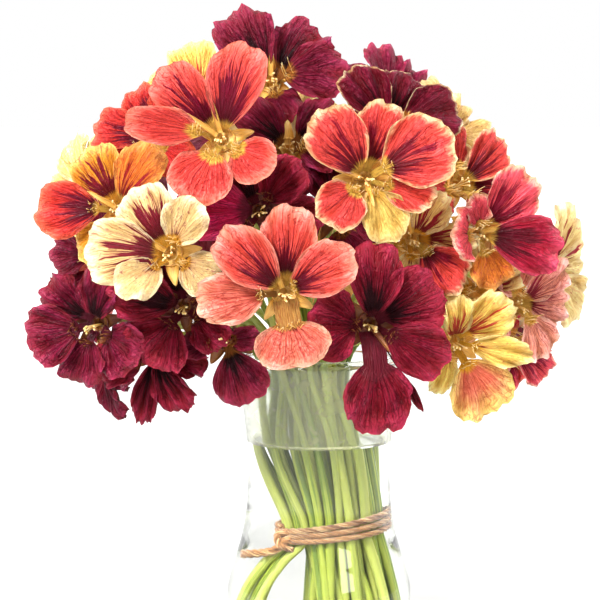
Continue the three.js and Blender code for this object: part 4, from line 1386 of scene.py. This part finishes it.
BLOOMS = (
    Bloom("coral_heart", (-14, -84, 155), (0, 8), -22, CORAL, sepals=(-22,), crumple=0.7, petals=(
        wide(-48, 34, 20, breadth=0.82, cup=0.5), wide(5, 34, 24, breadth=0.86, cup=0.35),
        wide(62, 32, 26, breadth=0.86, cup=0.4, fringed=True),
        clawed(-97, 34, 14, breadth=0.75, cup=0.3, finish=PEACH, crumple=2.0),
        clawed(171, 29, 6, breadth=1.42, claw=0.36, half_claw=3.4, finish=PEACH, ruffle=1.2, fringed=True))),
    Bloom("cream_splash", (-58, -70, 169), (-14, 10), -58, CREAM_SPLASHED, sepals=(-58,), crumple=0.8,
          petals=(
        wide(-28, 28, 14, breadth=1.1), wide(-92, 31, 14, breadth=1.15),
        clawed(36, 25, 26, breadth=0.9, twist=20), clawed(-142, 27, 50, breadth=0.8, curl=30),
        clawed(120, 22, -8))),
    Bloom("crimson_front", (19, -73, 142), (8, 2), 30, CRIMSON, sepals=(148,), calyx=CALYX_RED, petals=(
        wide(2, 31, -2, breadth=0.95), wide(60, 30, 12, breadth=1.25), clawed(118, 32, 4, breadth=0.85),
        clawed(-88, 26, 22, breadth=1.35, cup=0.3),
        clawed(178, 42, 4, breadth=0.88, claw=0.36, half_claw=5.4, crumple=1.8),
        # painted shade darkens the narrow hanging petal
        clawed(150, 39, 8, breadth=0.2, claw=0.6, tone=-0.2))),
    Bloom("coral_crown", (-38, -62, 213), (-8, 16), -12, CROWN, sepals=(-14, -62), strip_length=21,
          crumple=0.5, petals=(
        wide(-44, 36, 16, breadth=0.8, cup=0.45), wide(19, 37, 18, breadth=0.86, cup=0.45),
        clawed(-86, 38, 22, breadth=0.5, twist=-25, finish=CORAL_LOW),
        clawed(-160, 29, 12, breadth=1.1, finish=CORAL_LOW),
        clawed(128, 27, 26, breadth=0.9, finish=CORAL_LOW))),
    Bloom("coral_cream", (17, -68, 198), (6, 12), -13, CORAL_CREAM, sepals=(-82, 170), petals=(
        wide(-41, 31, 18, breadth=1.05), wide(16, 30, 18, breadth=0.85), clawed(68, 36, 14, mark=0.9),
        clawed(112, 28, 24, breadth=0.7), clawed(-138, 26, 20, breadth=0.95),
        clawed(158, 26, -2, breadth=0.88, finish=GOLD_PLAIN, mark=0.1))),
    Bloom("yellow_fall", (52, -60, 134), (16, -4), 20, YELLOW, sepals=(-60,), crumple=1.6, petals=(
        wide(46, 27, 30, breadth=0.95, cup=0.3), wide(-12, 24, 40, breadth=0.7),
        clawed(98, 30, 30, breadth=0.55, twist=30), clawed(152, 33, 4, breadth=1.05, finish=YELLOW_CORAL),
        clawed(-152, 21, 20, breadth=0.6))),
    Bloom("ruby_right", (62, -52, 176), (20, 4), 74, ROSE, sepals=(74,), crumple=1.2, petals=(
        wide(41, 31, 12, breadth=0.98), wide(106, 32, 14, finish=RUBY),
        clawed(-92, 24, 55, breadth=1.1), clawed(-24, 18, 40, breadth=0.7),
        clawed(165, 22, 10, finish=ORANGE))),
    Bloom("gold_left", (-79, -48, 185), (-20, 12), -62, GOLD, sepals=(-62,), petals=(
        wide(-30, 27, 14, breadth=1.1), wide(38, 30, 10, breadth=0.9, finish=ORANGE),
        clawed(-96, 32, 10, breadth=0.9, finish=SCARLET, mark=1.0), clawed(-160, 24, 8), clawed(120, 22, 0))),
    Bloom("claret_top", (-20, -22, 236), (-4, 26), 6, CLARET, sepals=(4,), crumple=1.7, petals=(
        wide(-33, 31, 6, breadth=1.1), wide(42, 30, -2, breadth=1.15, ruffle=1.2),
        clawed(92, 31, 6, ruffle=1.2), clawed(-104, 23, 10), clawed(160, 22, 20))),
    Bloom("plum_low_left", (-89, -42, 139), (-24, 0), -10, PLUM, calyx=CALYX_RED, crumple=1.8, petals=(
        wide(22, 25, 12), wide(-52, 26, 14), clawed(-104, 27, 16, breadth=1.15),
        clawed(-165, 24, 8, breadth=1.15), clawed(125, 24, 10, breadth=1.3))),
    Bloom("cream_crumple", (36, -54, 174), (14, 0), 40, CREAM, sepals=(-20,), crumple=1.8, petals=(
        wide(24, 21, 22), wide(92, 24, 30, breadth=0.8),
        clawed(142, 26, 18, ruffle=1.8, finish=CORAL_CREAM, mark=0.9),
        clawed(-164, 24, 24, breadth=0.8, ruffle=1.8), clawed(248, 18, 20, breadth=0.75, ruffle=1.8))),
    Bloom("cream_streak", (62, -42, 150), (22, 4), 10, CREAM, crumple=1.8, petals=(
        wide(2, 26, 14, breadth=0.75), wide(50, 21, 16), clawed(-70, 21, 10))),
    Bloom("claret_low", (-54, -50, 147), (-10, -4), 0, CRIMSON, calyx=CALYX_RED, crumple=1.8, petals=(
        wide(-66, 29, 14, breadth=1.1), wide(-8, 24, 2), clawed(62, 26, 4), clawed(130, 22, 6),
        clawed(-146, 26, 8, breadth=1.3))),
    Bloom("lone_claret", (-38, -48, 134), (-8, -8), 170, CLARET, calyx=CALYX_RED, petals=(
        wide(158, 27, 12, breadth=1.15, cup=-0.3),
        clawed(-100, 17, 20, breadth=0.8), clawed(80, 15, 20, breadth=0.8))),
    Bloom("claret_mid", (-13, -40, 209), (0, 20), 8, CLARET, crumple=1.6, petals=(
        wide(-52, 24, 18), wide(52, 25, 14), clawed(104, 22, 8), clawed(-118, 21, 8), clawed(176, 22, 6))),
    Bloom("velvet_mid", (-24, -56, 185), (-4, 6), -30, CRIMSON, calyx=CALYX_RED, crumple=1.5, petals=(
        # painted light lightens the wide left petal
        wide(-88, 30, 12, breadth=1.2, finish=VELVET, mark=0.2, tone=0.5), wide(-24, 20, 0),
        clawed(40, 24, 8), clawed(104, 25, -4), clawed(-150, 24, -4))),
    Bloom("velvet_shade", (6, -42, 184), (2, 4), 20, CLARET, calyx=CALYX_RED, petals=(
        wide(-20, 24, -4), wide(40, 25, -6), clawed(100, 24, -6), clawed(165, 26, -6), clawed(-110, 25, -8))),
    Bloom("plum_fold", (26, -34, 216), (14, 18), 6, CLARET_EDGED, crumple=1.4, petals=(
        wide(-34, 27, 14, curl=34), wide(26, 27, 10, curl=38), clawed(76, 30, 2, curl=20),
        clawed(130, 20, -2), clawed(-118, 20, 0))),
    Bloom("magenta_tip", (27, -8, 228), (24, 40), 20, MAGENTA, crumple=1.8,
          petals=five_petals(30, 22, 16, 5)),
    Bloom("coral_side", (56, -28, 194), (36, 16), 60, CORAL_CREAM, crumple=1.4,
          petals=five_petals(74, 24, 16, 2)),
    Bloom("scarlet_left", (-66, -30, 212), (-32, 22), -40, SCARLET, petals=five_petals(-58, 24, 16, 4)),
    Bloom("yellow_back", (-48, -8, 226), (-22, 46), 10, YELLOW, petals=five_petals(6, 27, 20, 6)),
    Bloom("plum_left", (-86, -28, 166), (-40, 4), 160, PLUM, crumple=1.6,
          petals=five_petals(170, 24, 14, 7)),
    Bloom("claret_hang", (-66, -38, 128), (-14, -22), 180, CRIMSON, calyx=CALYX_RED, crumple=2.0, petals=(
        wide(150, 25, 10, breadth=0.9), wide(-166, 30, 12, breadth=0.5), clawed(-95, 24, 16),
        clawed(95, 22, 12, breadth=0.95))),
    Bloom("salmon_right", (80, -28, 146), (34, -2), 60, SALMON, crumple=1.5,
          petals=five_petals(64, 23, 14, 8)),
    Bloom("rose_low_right", (78, -14, 128), (40, -18), 150, ROSE, crumple=1.5,
          petals=five_petals(150, 21, 14, 9)),
    Bloom("cream_right", (91, -4, 158), (52, -2), 40, CREAM_PALE, crumple=1.6,
          petals=five_petals(40, 28, 12, 10)),
    Bloom("pale_left", (-94, 0, 190), (-56, 22), 0, PALE, petals=five_petals(-10, 26, 14, 11)),
    Bloom("apricot_curl", (50, -8, 212), (44, 30), 20, CREAM, crumple=1.8,
          petals=five_petals(10, 23, 14, 12)),
    Bloom("crimson_under_left", (-86, -10, 122), (-56, -22), 200, PLUM, crumple=1.8,
          petals=five_petals(190, 23, 12, 13)),
    Bloom("coral_back_left", (-84, 32, 160), (-116, 8), -10, CORAL, petals=five_petals(-10, 30, 16, 14)),
    Bloom("crimson_back_low", (-46, 56, 146), (-154, 2), 14, CRIMSON, petals=five_petals(14, 31, 16, 15)),
    Bloom("gold_back_low", (4, 62, 150), (178, 4), -16, GOLD, petals=five_petals(-16, 31, 16, 16)),
    Bloom("coral_back_right", (54, 50, 146), (146, 2), 10, CORAL_CREAM, petals=five_petals(10, 31, 16, 17)),
    Bloom("claret_back_right", (83, 24, 148), (108, 2), -8, CLARET, petals=five_petals(-8, 29, 16, 18)),
    Bloom("cream_back_high", (-16, 40, 204), (-172, 34), -10, CREAM_SPLASHED,
          petals=five_petals(-10, 31, 16, 19)),
    Bloom("crimson_back_high", (34, 32, 200), (140, 32), 12, CRIMSON, petals=five_petals(12, 30, 16, 20)),
    Bloom("magenta_back_high", (-62, 28, 202), (-130, 32), 0, MAGENTA, petals=five_petals(0, 30, 16, 21)),
)  # fmt: skip


# ---------------------------------------------------------- stems, twine, vase

FLOOR = 6.0  # height of the vase's inner floor
WATERLINE = 85.7
RIM_HEIGHT = 122.5
AXIS = 0.05  # radius of the last ring of a turned surface, before its axis is closed
WELD = 0.004  # points closer than this become one


@dataclass(frozen=True)
class Tie:
    """Where the twine holds the bunch: a sloping ellipse of stems, right of centre."""

    x: float = 5.5
    y: float = 0.0
    z: float = 49.0
    half_width: float = 15.5
    half_depth: float = 9.5
    tilt: float = 0.15


@dataclass
class Stems:
    """The stems, one for each bloom, packed close at the tie."""

    tie: Tie
    diameter: float = 3.4
    rim_room: float = 30.8  # how far from the axis a stem can be at the rim
    dome: tuple[float, float, float, float] = (-8, -8, 100, 78)  # the blooms' middle and half widths
    behind: float = 20.0  # how far behind its throat a bloom's place in the dome is
    straight: float = 15.4  # how far a stem runs straight to its bloom's cup
    sunk: float = 0.6  # how far it goes into the cup
    stray: tuple[tuple[float, float], ...] = ((3.4, 2.2), (1.8, 1.4), (2.6, 1.4))  # at foot, water, rim
    search: int = 12  # rows and columns of places on each side of the middle
    sides: int = 10
    rings: int = 64
    spares: int = 10  # stalks that lost their bloom and end among the others
    seed: int = 41
    places: dict[str, tuple[float, float]] = field(default_factory=dict)

    def _bunch(self, count: int) -> list[tuple[float, float]]:
        """Places in the tied bunch, close packed from the middle outwards.

        Args:
            count: how many it gives.

        Returns:
            Each place, across and back from the middle.
        """
        pitch = self.diameter * 0.95
        span = range(-self.search, self.search + 1)
        found = []
        for row in span:
            for column in span:
                x = (column + (0.5 if row % 2 else 0)) * pitch
                y = row * pitch * math.sqrt(0.75)
                found.append((math.hypot(x / self.tie.half_width, y / self.tie.half_depth), x, y))
        return [(x, y) for _, x, y in sorted(found)[:count]]

    def assign(self, blooms: tuple[Bloom, ...]) -> None:
        """Gives every bloom a place in the bunch on its own side, so that the stems don't cross.

        Args:
            blooms: all the blooms.
        """
        x0, y0, rx, ry = self.dome
        wanted = []
        for bloom in blooms:
            facing = bloom.axes[2]
            x = (bloom.at[0] - facing[0] * self.behind - x0) / rx * self.tie.half_width
            y = (bloom.at[1] - facing[1] * self.behind - y0) / ry * self.tie.half_depth
            wanted.append((x, y))
        places = np.array(self._bunch(len(blooms) + self.spares))
        wish = np.array(wanted)
        miss = places[None] - wish[:, None]
        cost = miss[..., 0] ** 2 + (1.5 * miss[..., 1]) ** 2  # front to back counts for more
        took = np.full(len(blooms), -1)
        free = set(range(len(places)))
        for i in np.argsort(-np.hypot(wish[:, 0], wish[:, 1]), kind="stable"):
            took[i] = min(free, key=lambda j: (cost[i, j], j))
            free.remove(took[i])
        better = True
        while better:
            better = False
            for i in range(len(blooms)):
                for j in range(len(blooms)):
                    if cost[i, took[j]] + cost[j, took[i]] < cost[i, took[i]] + cost[j, took[j]] - 1e-6:
                        took[i], took[j] = took[j], took[i]
                        better = True
        self.places = {bloom.name: tuple(places[took[i]]) for i, bloom in enumerate(blooms)}
        self.places.update({f"spare_{j}": tuple(places[j]) for j in sorted(free)})

    def line(self, name: str, bloom: Bloom | None, draw: np.random.Generator) -> np.ndarray:
        """One stem's centreline, from its cut end to the back of its bloom's cup.

        Args:
            name: whose place in the bunch it has.
            bloom: the bloom that it carries, or none for a spare stalk.
            draw: where its small wanderings come from.

        Returns:
            The points of the line.
        """
        tx, ty = (1.08 * v for v in self.places[name])
        tie = self.tie
        aside = max(0.0, -tx - 5) / 10.5  # 0 in most of the bunch, to 1 for the stems at its left
        stray = draw.normal(size=(3, 2)) * np.array(self.stray)
        # the feet stand right of the tie, but those of the leftmost stems swing out to the left
        foot = np.array([tie.x + 4.5 + 1.12 * tx - (22 if aside > 0.45 else 0), 1.2 * ty]) + stray[0]
        # above the tie the stems lean to the left and fan out
        wet = np.array([tie.x - 4.5 + 1.2 * tx - 4 * aside**0.8, 1.7 * ty]) + stray[1]
        rim = np.array([tie.x - 11 + 1.3 * tx, 2.6 * ty]) + stray[2]
        rim *= min(1.0, self.rim_room / float(np.hypot(*rim)))
        if bloom:
            facing = bloom.axes[2]
            end = np.array(bloom.at) - facing * (bloom.cup_depth - self.sunk)
            bend = end - facing * self.straight
        else:
            bend = np.array([*(1.1 * rim), RIM_HEIGHT + 10])
            end = np.array([*(1.25 * rim), RIM_HEIGHT + 22])
        points = [
            (*foot, FLOOR + 0.4),
            (tie.x + tx + 0.35 * (foot[0] - tie.x - tx), tie.y + ty, FLOOR + 0.62 * (tie.z - FLOOR)),
            (tie.x + tx, tie.y + ty, tie.z - 4 + tx * tie.tilt),
            (tie.x + tx, tie.y + ty, tie.z + 4 + tx * tie.tilt),
            (*wet, WATERLINE),
            (*rim, RIM_HEIGHT),
            tuple(bend),
            tuple(end),
        ]
        return smooth_line(points, self.rings)

    def build(self, blooms: tuple[Bloom, ...]) -> None:
        """Builds every stem in one piece.

        Args:
            blooms: all the blooms.
        """
        self.assign(blooms)
        shell = Shell()
        draw = np.random.default_rng(self.seed)
        carried = {bloom.name: bloom for bloom in blooms}
        for number, name in enumerate(self.places):
            line = self.line(name, carried.get(name), draw)
            k = np.linspace(0, 1, self.rings)
            radius = self.diameter / 2 * draw.uniform(0.75, 1.18)
            radii = radius * (1 - 0.28 * k**2) * (1 + 0.03 * np.sin(9 * k + number))
            tube(shell, line, radii, self.sides, number * 1.7)
        piece = shell.build("stems_bunch", [STEM])
        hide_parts("stems")


@dataclass
class Twine:
    """Three wraps of jute twine round the stems, with a knot and a short tail at the left.

    The tail and the knot's loop are given by points from where the wraps start.
    """

    tie: Tie
    tail: tuple[Point, ...] = (
        (4.0, -1.6, 2.6), (-0.6, -3.0, 0.0), (-3.0, -2.6, -3.4), (-9.0, -1.6, -5.5), (-17.5, 0.6, -6.4),
    )  # fmt: skip
    loop: tuple[Point, ...] = ((2.6, -2.2, -3.6), (-1.8, -4.0, -1.4), (-2.4, -2.0, 3.0), (1.6, -2.4, 5.0))
    start: float = 200.0  # degrees round the bunch at which the wraps start
    snug: float = 1.3  # from the outermost stem centres to the twine
    diameter: float = 3.0
    pitch: float = 2.8
    wraps: int = 3
    plies: int = 3
    lay: float = 8.5  # length of one turn of the plies
    tail_stout: float = 1.25  # how much thicker the frayed tail is
    wrap_fibres: int = 90
    tail_fibres: int = 30
    seed: int = 5

    def _around(self, turns: np.ndarray) -> np.ndarray:
        """Points on the wraps.

        Args:
            turns: how many turns each is from where they start, at the left front.

        Returns:
            The points.
        """
        out = self.snug + self.diameter / 2
        a = math.radians(self.start) + 2 * math.pi * turns
        x = np.cos(a) * (self.tie.half_width + out)
        y = np.sin(a) * (self.tie.half_depth + out)
        spread = 1 + 0.22 * np.cos(a)  # the wraps close up towards the knot
        height = (turns - self.wraps / 2) * self.pitch * spread
        return join(self.tie.x + x, self.tie.y + y, self.tie.z + x * self.tie.tilt + height)

    def _rope(self, shell: Shell, line: np.ndarray, seed: float, stout: float = 1.0) -> None:
        """Adds a rope of twisted plies along a line.

        Args:
            shell: what takes it.
            line: the points of its centreline.
            seed: what sets its fibres apart.
            stout: its diameter as a share of the twine's.
        """
        far = distances(line)
        ply = self.diameter * stout * 0.27
        for i in range(self.plies):
            turn = 2 * math.pi * (far / self.lay + i / self.plies)
            rings = rings_along(line, np.full(len(line), self.diameter * stout / 2 - ply), 2)
            side = rings[:, 0] - line
            ahead = np.gradient(line, axis=0)
            ahead /= np.linalg.norm(ahead, axis=1, keepdims=True)
            other = np.cross(ahead, side)
            centre = line + side * np.cos(turn)[:, None] + other * np.sin(turn)[:, None]
            tube(shell, centre, np.full(len(line), ply), 7, seed + i)

    def _fuzz(self, shell: Shell, line: np.ndarray, draw: np.random.Generator, count: int) -> None:
        """Adds loose fibres that stand off a line.

        Args:
            shell: what takes them.
            line: the points of the line.
            draw: where their lengths and places come from.
            count: how many there are.
        """
        for i in range(count):
            at = line[draw.integers(2, len(line) - 2)]
            way = draw.normal(size=3)
            way /= np.linalg.norm(way)
            k = np.linspace(0, 1, 5)[:, None]
            length = draw.uniform(1.6, 3.4)
            bend = draw.normal(size=3) * 0.5
            fibre = at + way * (self.diameter * 0.35 + length * k) + bend * k * k
            tube(shell, fibre, 0.09 - 0.05 * k[:, 0], 4, i)

    def build(self) -> None:
        """Builds the twine in one piece."""
        shell = Shell()
        draw = np.random.default_rng(self.seed)
        wraps = self._around(np.linspace(0, self.wraps, 260))
        self._rope(shell, wraps, 0.0)
        tail = smooth_line(wraps[0] + np.array(self.tail), 60)
        self._rope(shell, tail, 2.0, self.tail_stout)
        self._rope(shell, smooth_line(wraps[0] + np.array(self.loop), 34), 4.0)
        self._fuzz(shell, wraps, draw, self.wrap_fibres)
        self._fuzz(shell, tail, draw, self.tail_fibres)
        piece = shell.build("twine_wraps", [JuteFinish()])
        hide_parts("twine")


@dataclass
class Vase:
    """The waisted glass vase and the water in it."""

    wall: float = 2.0
    foot_round: float = 3.0
    corner: float = 7.0  # radius of the round corner inside
    bead: float = 1.5  # radius of the round bead at the rim
    joint: float = 0.6  # height left between the wall and what is round at its ends
    film: float = 0.03  # from the glass to the water
    climb: float = 1.3  # how far the water climbs the glass
    meniscus: float = 5.0  # how far in from the glass it starts to climb
    sides: int = 96
    outside: tuple[tuple[float, float], ...] = (
        (0, 30), (7, 36), (22, 38.8), (36, 35.4), (50, 31.8), (67, 30.1), (88, 30.8), (RIM_HEIGHT, 35.2),
    )  # fmt: skip

    def radius(self, height: np.ndarray | float) -> np.ndarray:
        """The outside radius at a height."""
        line = smooth_line([(float(r), float(z)) for z, r in self.outside], 400)
        return np.interp(height, line[:, 1], line[:, 0])

    def _turned(self, shell: Shell, profile: np.ndarray, slot: int) -> None:
        """Adds the surface that a profile sweeps round the axis.

        Args:
            shell: what takes it.
            profile: radius and height at each of its points.
            slot: which material it has.
        """
        a = circle(self.sides)
        r, z = profile[:, :1], profile[:, 1:]
        points = join(r * np.cos(a), r * np.sin(a), z)
        place = join(a, z, 0.0)
        shell.add(points, grid_faces(len(profile), self.sides, around=True), place, slot=slot)

    def _wall_line(self, low: float, high: float, count: int, inset: float) -> np.ndarray:
        """Radius and height along the wall, so far inside its outer face."""
        z = np.linspace(low, high, count)
        return join(self.radius(z) - inset, z)

    def _inner_floor(self, inset: float) -> np.ndarray:
        """The inside of the floor out to the wall, with a round corner.

        Args:
            inset: how far inside the glass it lies.

        Returns:
            Radius and height at each point, from the axis outwards.
        """
        corner = self.corner
        z0 = FLOOR + inset
        reach = float(self.radius(z0 + corner)) - self.wall - inset
        a = np.linspace(math.pi / 2, 0, 12)
        arc = join(reach - corner + corner * np.cos(a), z0 + corner - corner * np.sin(a))
        flat = join(np.linspace(AXIS, reach - corner, 8)[:-1], np.full(7, z0))
        return np.concatenate([flat, arc])

    def _glass(self) -> None:
        """Builds the vase: its dry side, its wet side and the misted glass above the water."""
        top, foot, bead = RIM_HEIGHT, self.outside[0][1], self.bead
        # the foot's round edge, spread so that it ends on the wall
        a = np.linspace(0, math.pi / 2, 7)
        base = join(foot - self.foot_round * (1 - np.sin(a)), self.foot_round * (1 - np.cos(a)))
        spread = float(self.radius(self.foot_round)) - foot
        base[:, 0] += np.interp(base[:, 1], [0, self.foot_round], [0, spread])
        under = join(np.linspace(AXIS, base[0, 0], 6)[:-1], np.zeros(5))
        neck = top - 2 * bead - self.joint
        outer = self._wall_line(self.foot_round + self.joint, neck, 70, 0)
        b = np.linspace(-0.75, math.pi + 0.75, 16)
        r = float(self.radius(top - bead)) - self.wall / 2
        rim = join(r + bead * np.cos(b), top - bead + bead * np.sin(b))
        dry = self._wall_line(WATERLINE, neck, 24, self.wall)[::-1]
        inner_floor = self._inner_floor(0)
        wet = self._wall_line(inner_floor[-1, 1], WATERLINE, 50, self.wall)[::-1]
        shell = Shell()
        self._turned(shell, np.concatenate([under, base, outer, rim, dry[:1]]), 0)
        self._turned(shell, np.concatenate([wet, inner_floor[::-1][1:]]), 1)
        self._turned(shell, dry, 2)
        piece = shell.build("vase_glass", [GLASS, WET_GLASS, MISTED_GLASS])
        self._weld(piece)
        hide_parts("vase")

    def _water(self) -> None:
        """Builds the water: its face, the side that wets the glass and the bright line where it climbs."""
        corner_top = self._inner_floor(0)[-1, 1]
        side = self._wall_line(corner_top, WATERLINE + self.climb, 50, self.wall + self.film)
        reach = side[-1, 0]
        k = np.linspace(0, 1, 14)
        slope = join(reach - self.meniscus * k, WATERLINE + self.climb * (1 - k) ** 3)
        still = join(np.linspace(reach - self.meniscus, AXIS, 16), np.full(16, WATERLINE))
        shell = Shell()
        self._turned(shell, np.concatenate([self._inner_floor(self.film), side[1:]]), 1)
        self._turned(shell, slope[:5], 2)
        self._turned(shell, np.concatenate([slope[4:], still[1:]]), 0)
        piece = shell.build("water_body", [WATER, OpenFinish(), BRIGHT_WATER])
        self._weld(piece)
        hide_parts("water")

    def build(self) -> None:
        """Builds the glass and the water."""
        self._glass()
        self._water()

    @staticmethod
    def _weld(piece: bpy.types.Object) -> None:
        """Joins the points where two surfaces of a piece meet, and closes its axis.

        Args:
            piece: the piece, as turned.
        """
        work = bmesh.new()
        work.from_mesh(piece.data)
        bmesh.ops.remove_doubles(work, verts=work.verts, dist=WELD * MM)
        holes = [e for e in work.edges if e.is_boundary]
        bmesh.ops.holes_fill(work, edges=holes, sides=0)
        bmesh.ops.recalc_face_normals(work, faces=work.faces)
        work.to_mesh(piece.data)
        work.free()


# ---------------------------------------------------------------------- studio


LOOKED_AT = Vector((0, 0, 0.15))  # the middle of the bouquet, in metres


@dataclass(frozen=True)
class Softbox:
    """A square soft light that looks at the bouquet, in metres and watts."""

    name: str
    at: Point
    size: float
    power: float

    def build(self) -> None:
        """Hangs the light."""
        lamp = bpy.data.lights.new(self.name, "AREA")
        lamp.size = self.size
        lamp.energy = self.power
        light = put(self.name, lamp)
        light.location = self.at
        light.rotation_mode = "QUATERNION"
        light.rotation_quaternion = (Vector(self.at) - LOOKED_AT).to_track_quat("Z", "Y")


LIGHTS = (
    Softbox("key", (-0.8, -1.1, 1.2), 0.45, 53.0),
    Softbox("left_rim", (-1.2, 0.6, 0.6), 0.6, 12.0),
    Softbox("right_rim", (1.2, 0.5, 0.7), 0.6, 16.0),
    Softbox("window", (0.85, -1.1, 0.66), 0.45, 5.0),
)


@dataclass
class Studio:
    """The pale floor, the soft light and the camera."""

    target: Point = (-8.0, 0.0, 145.0)
    distance: float = 900.0
    pitch: float = 5.0
    lens: float = 128.57
    floor_size: float = 60.0  # metres
    side_light: float = 0.4
    front_light: float = 0.8
    top_light: float = 1.0

    def _floor(self) -> None:
        """Lays the floor."""
        half = self.floor_size / 2
        corners = [(-half, -half, 0), (half, -half, 0), (half, half, 0), (-half, half, 0)]
        mesh = bpy.data.meshes.new("floor")
        mesh.from_pydata(corners, [], [(0, 1, 2, 3)])
        mesh.materials.append(dressed(FloorFinish()))
        floor = put("floor", mesh)

    def _sky(self) -> None:
        """Lights the room in white: most from above, less from in front, and least from the sides."""
        sheet = NodeSheet(bpy.data.worlds.new("studio"))
        x, y, z = sheet.parts_of(sheet.add("TexCoord").outputs["Generated"])
        side = abs(x).step(0.75, 0.96) * (self.side_light - 1.0)
        front = y.step(0.0, -0.6) * (self.front_light - 1.0)
        above = z.step(0.25, 0.8) * self.top_light
        background = sheet.add("Background")
        sheet.feed(background.inputs["Strength"], side + 1.0 + front + above)
        sheet.feed(background.inputs["Color"], (1, 1, 1))
        bpy.context.scene.world = sheet.finish(background.outputs[0], "OutputWorld")

    def _camera(self) -> None:
        """Sets the camera in front of the bouquet, a little above it."""
        data = bpy.data.cameras.new("camera")
        data.lens = self.lens
        data.sensor_width = 36.0
        data.clip_start = 0.05
        data.clip_end = 50.0
        camera = put("camera", data)
        p = math.radians(self.pitch)
        x, y, z = self.target
        camera.location = (
            x * MM,
            (y - self.distance * math.cos(p)) * MM,
            (z + self.distance * math.sin(p)) * MM,
        )
        camera.rotation_euler = (math.pi / 2 - p, 0, 0)
        bpy.context.scene.camera = camera

    def build(self) -> None:
        """Sets up the whole studio."""
        self._floor()
        self._sky()
        for light in LIGHTS:
            light.build()
        self._camera()
        bpy.context.scene.view_settings.view_transform = "Standard"


def main() -> None:
    """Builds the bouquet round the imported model."""
    logging.basicConfig(level=logging.INFO, format="%(message)s")
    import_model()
    Studio().build()
    Vase().build()
    tie = Tie()
    Stems(tie).build(BLOOMS)
    Twine(tie).build()
    for number, bloom in enumerate(BLOOMS):
        bloom.build(number)


if __name__ == "__main__":
    main()
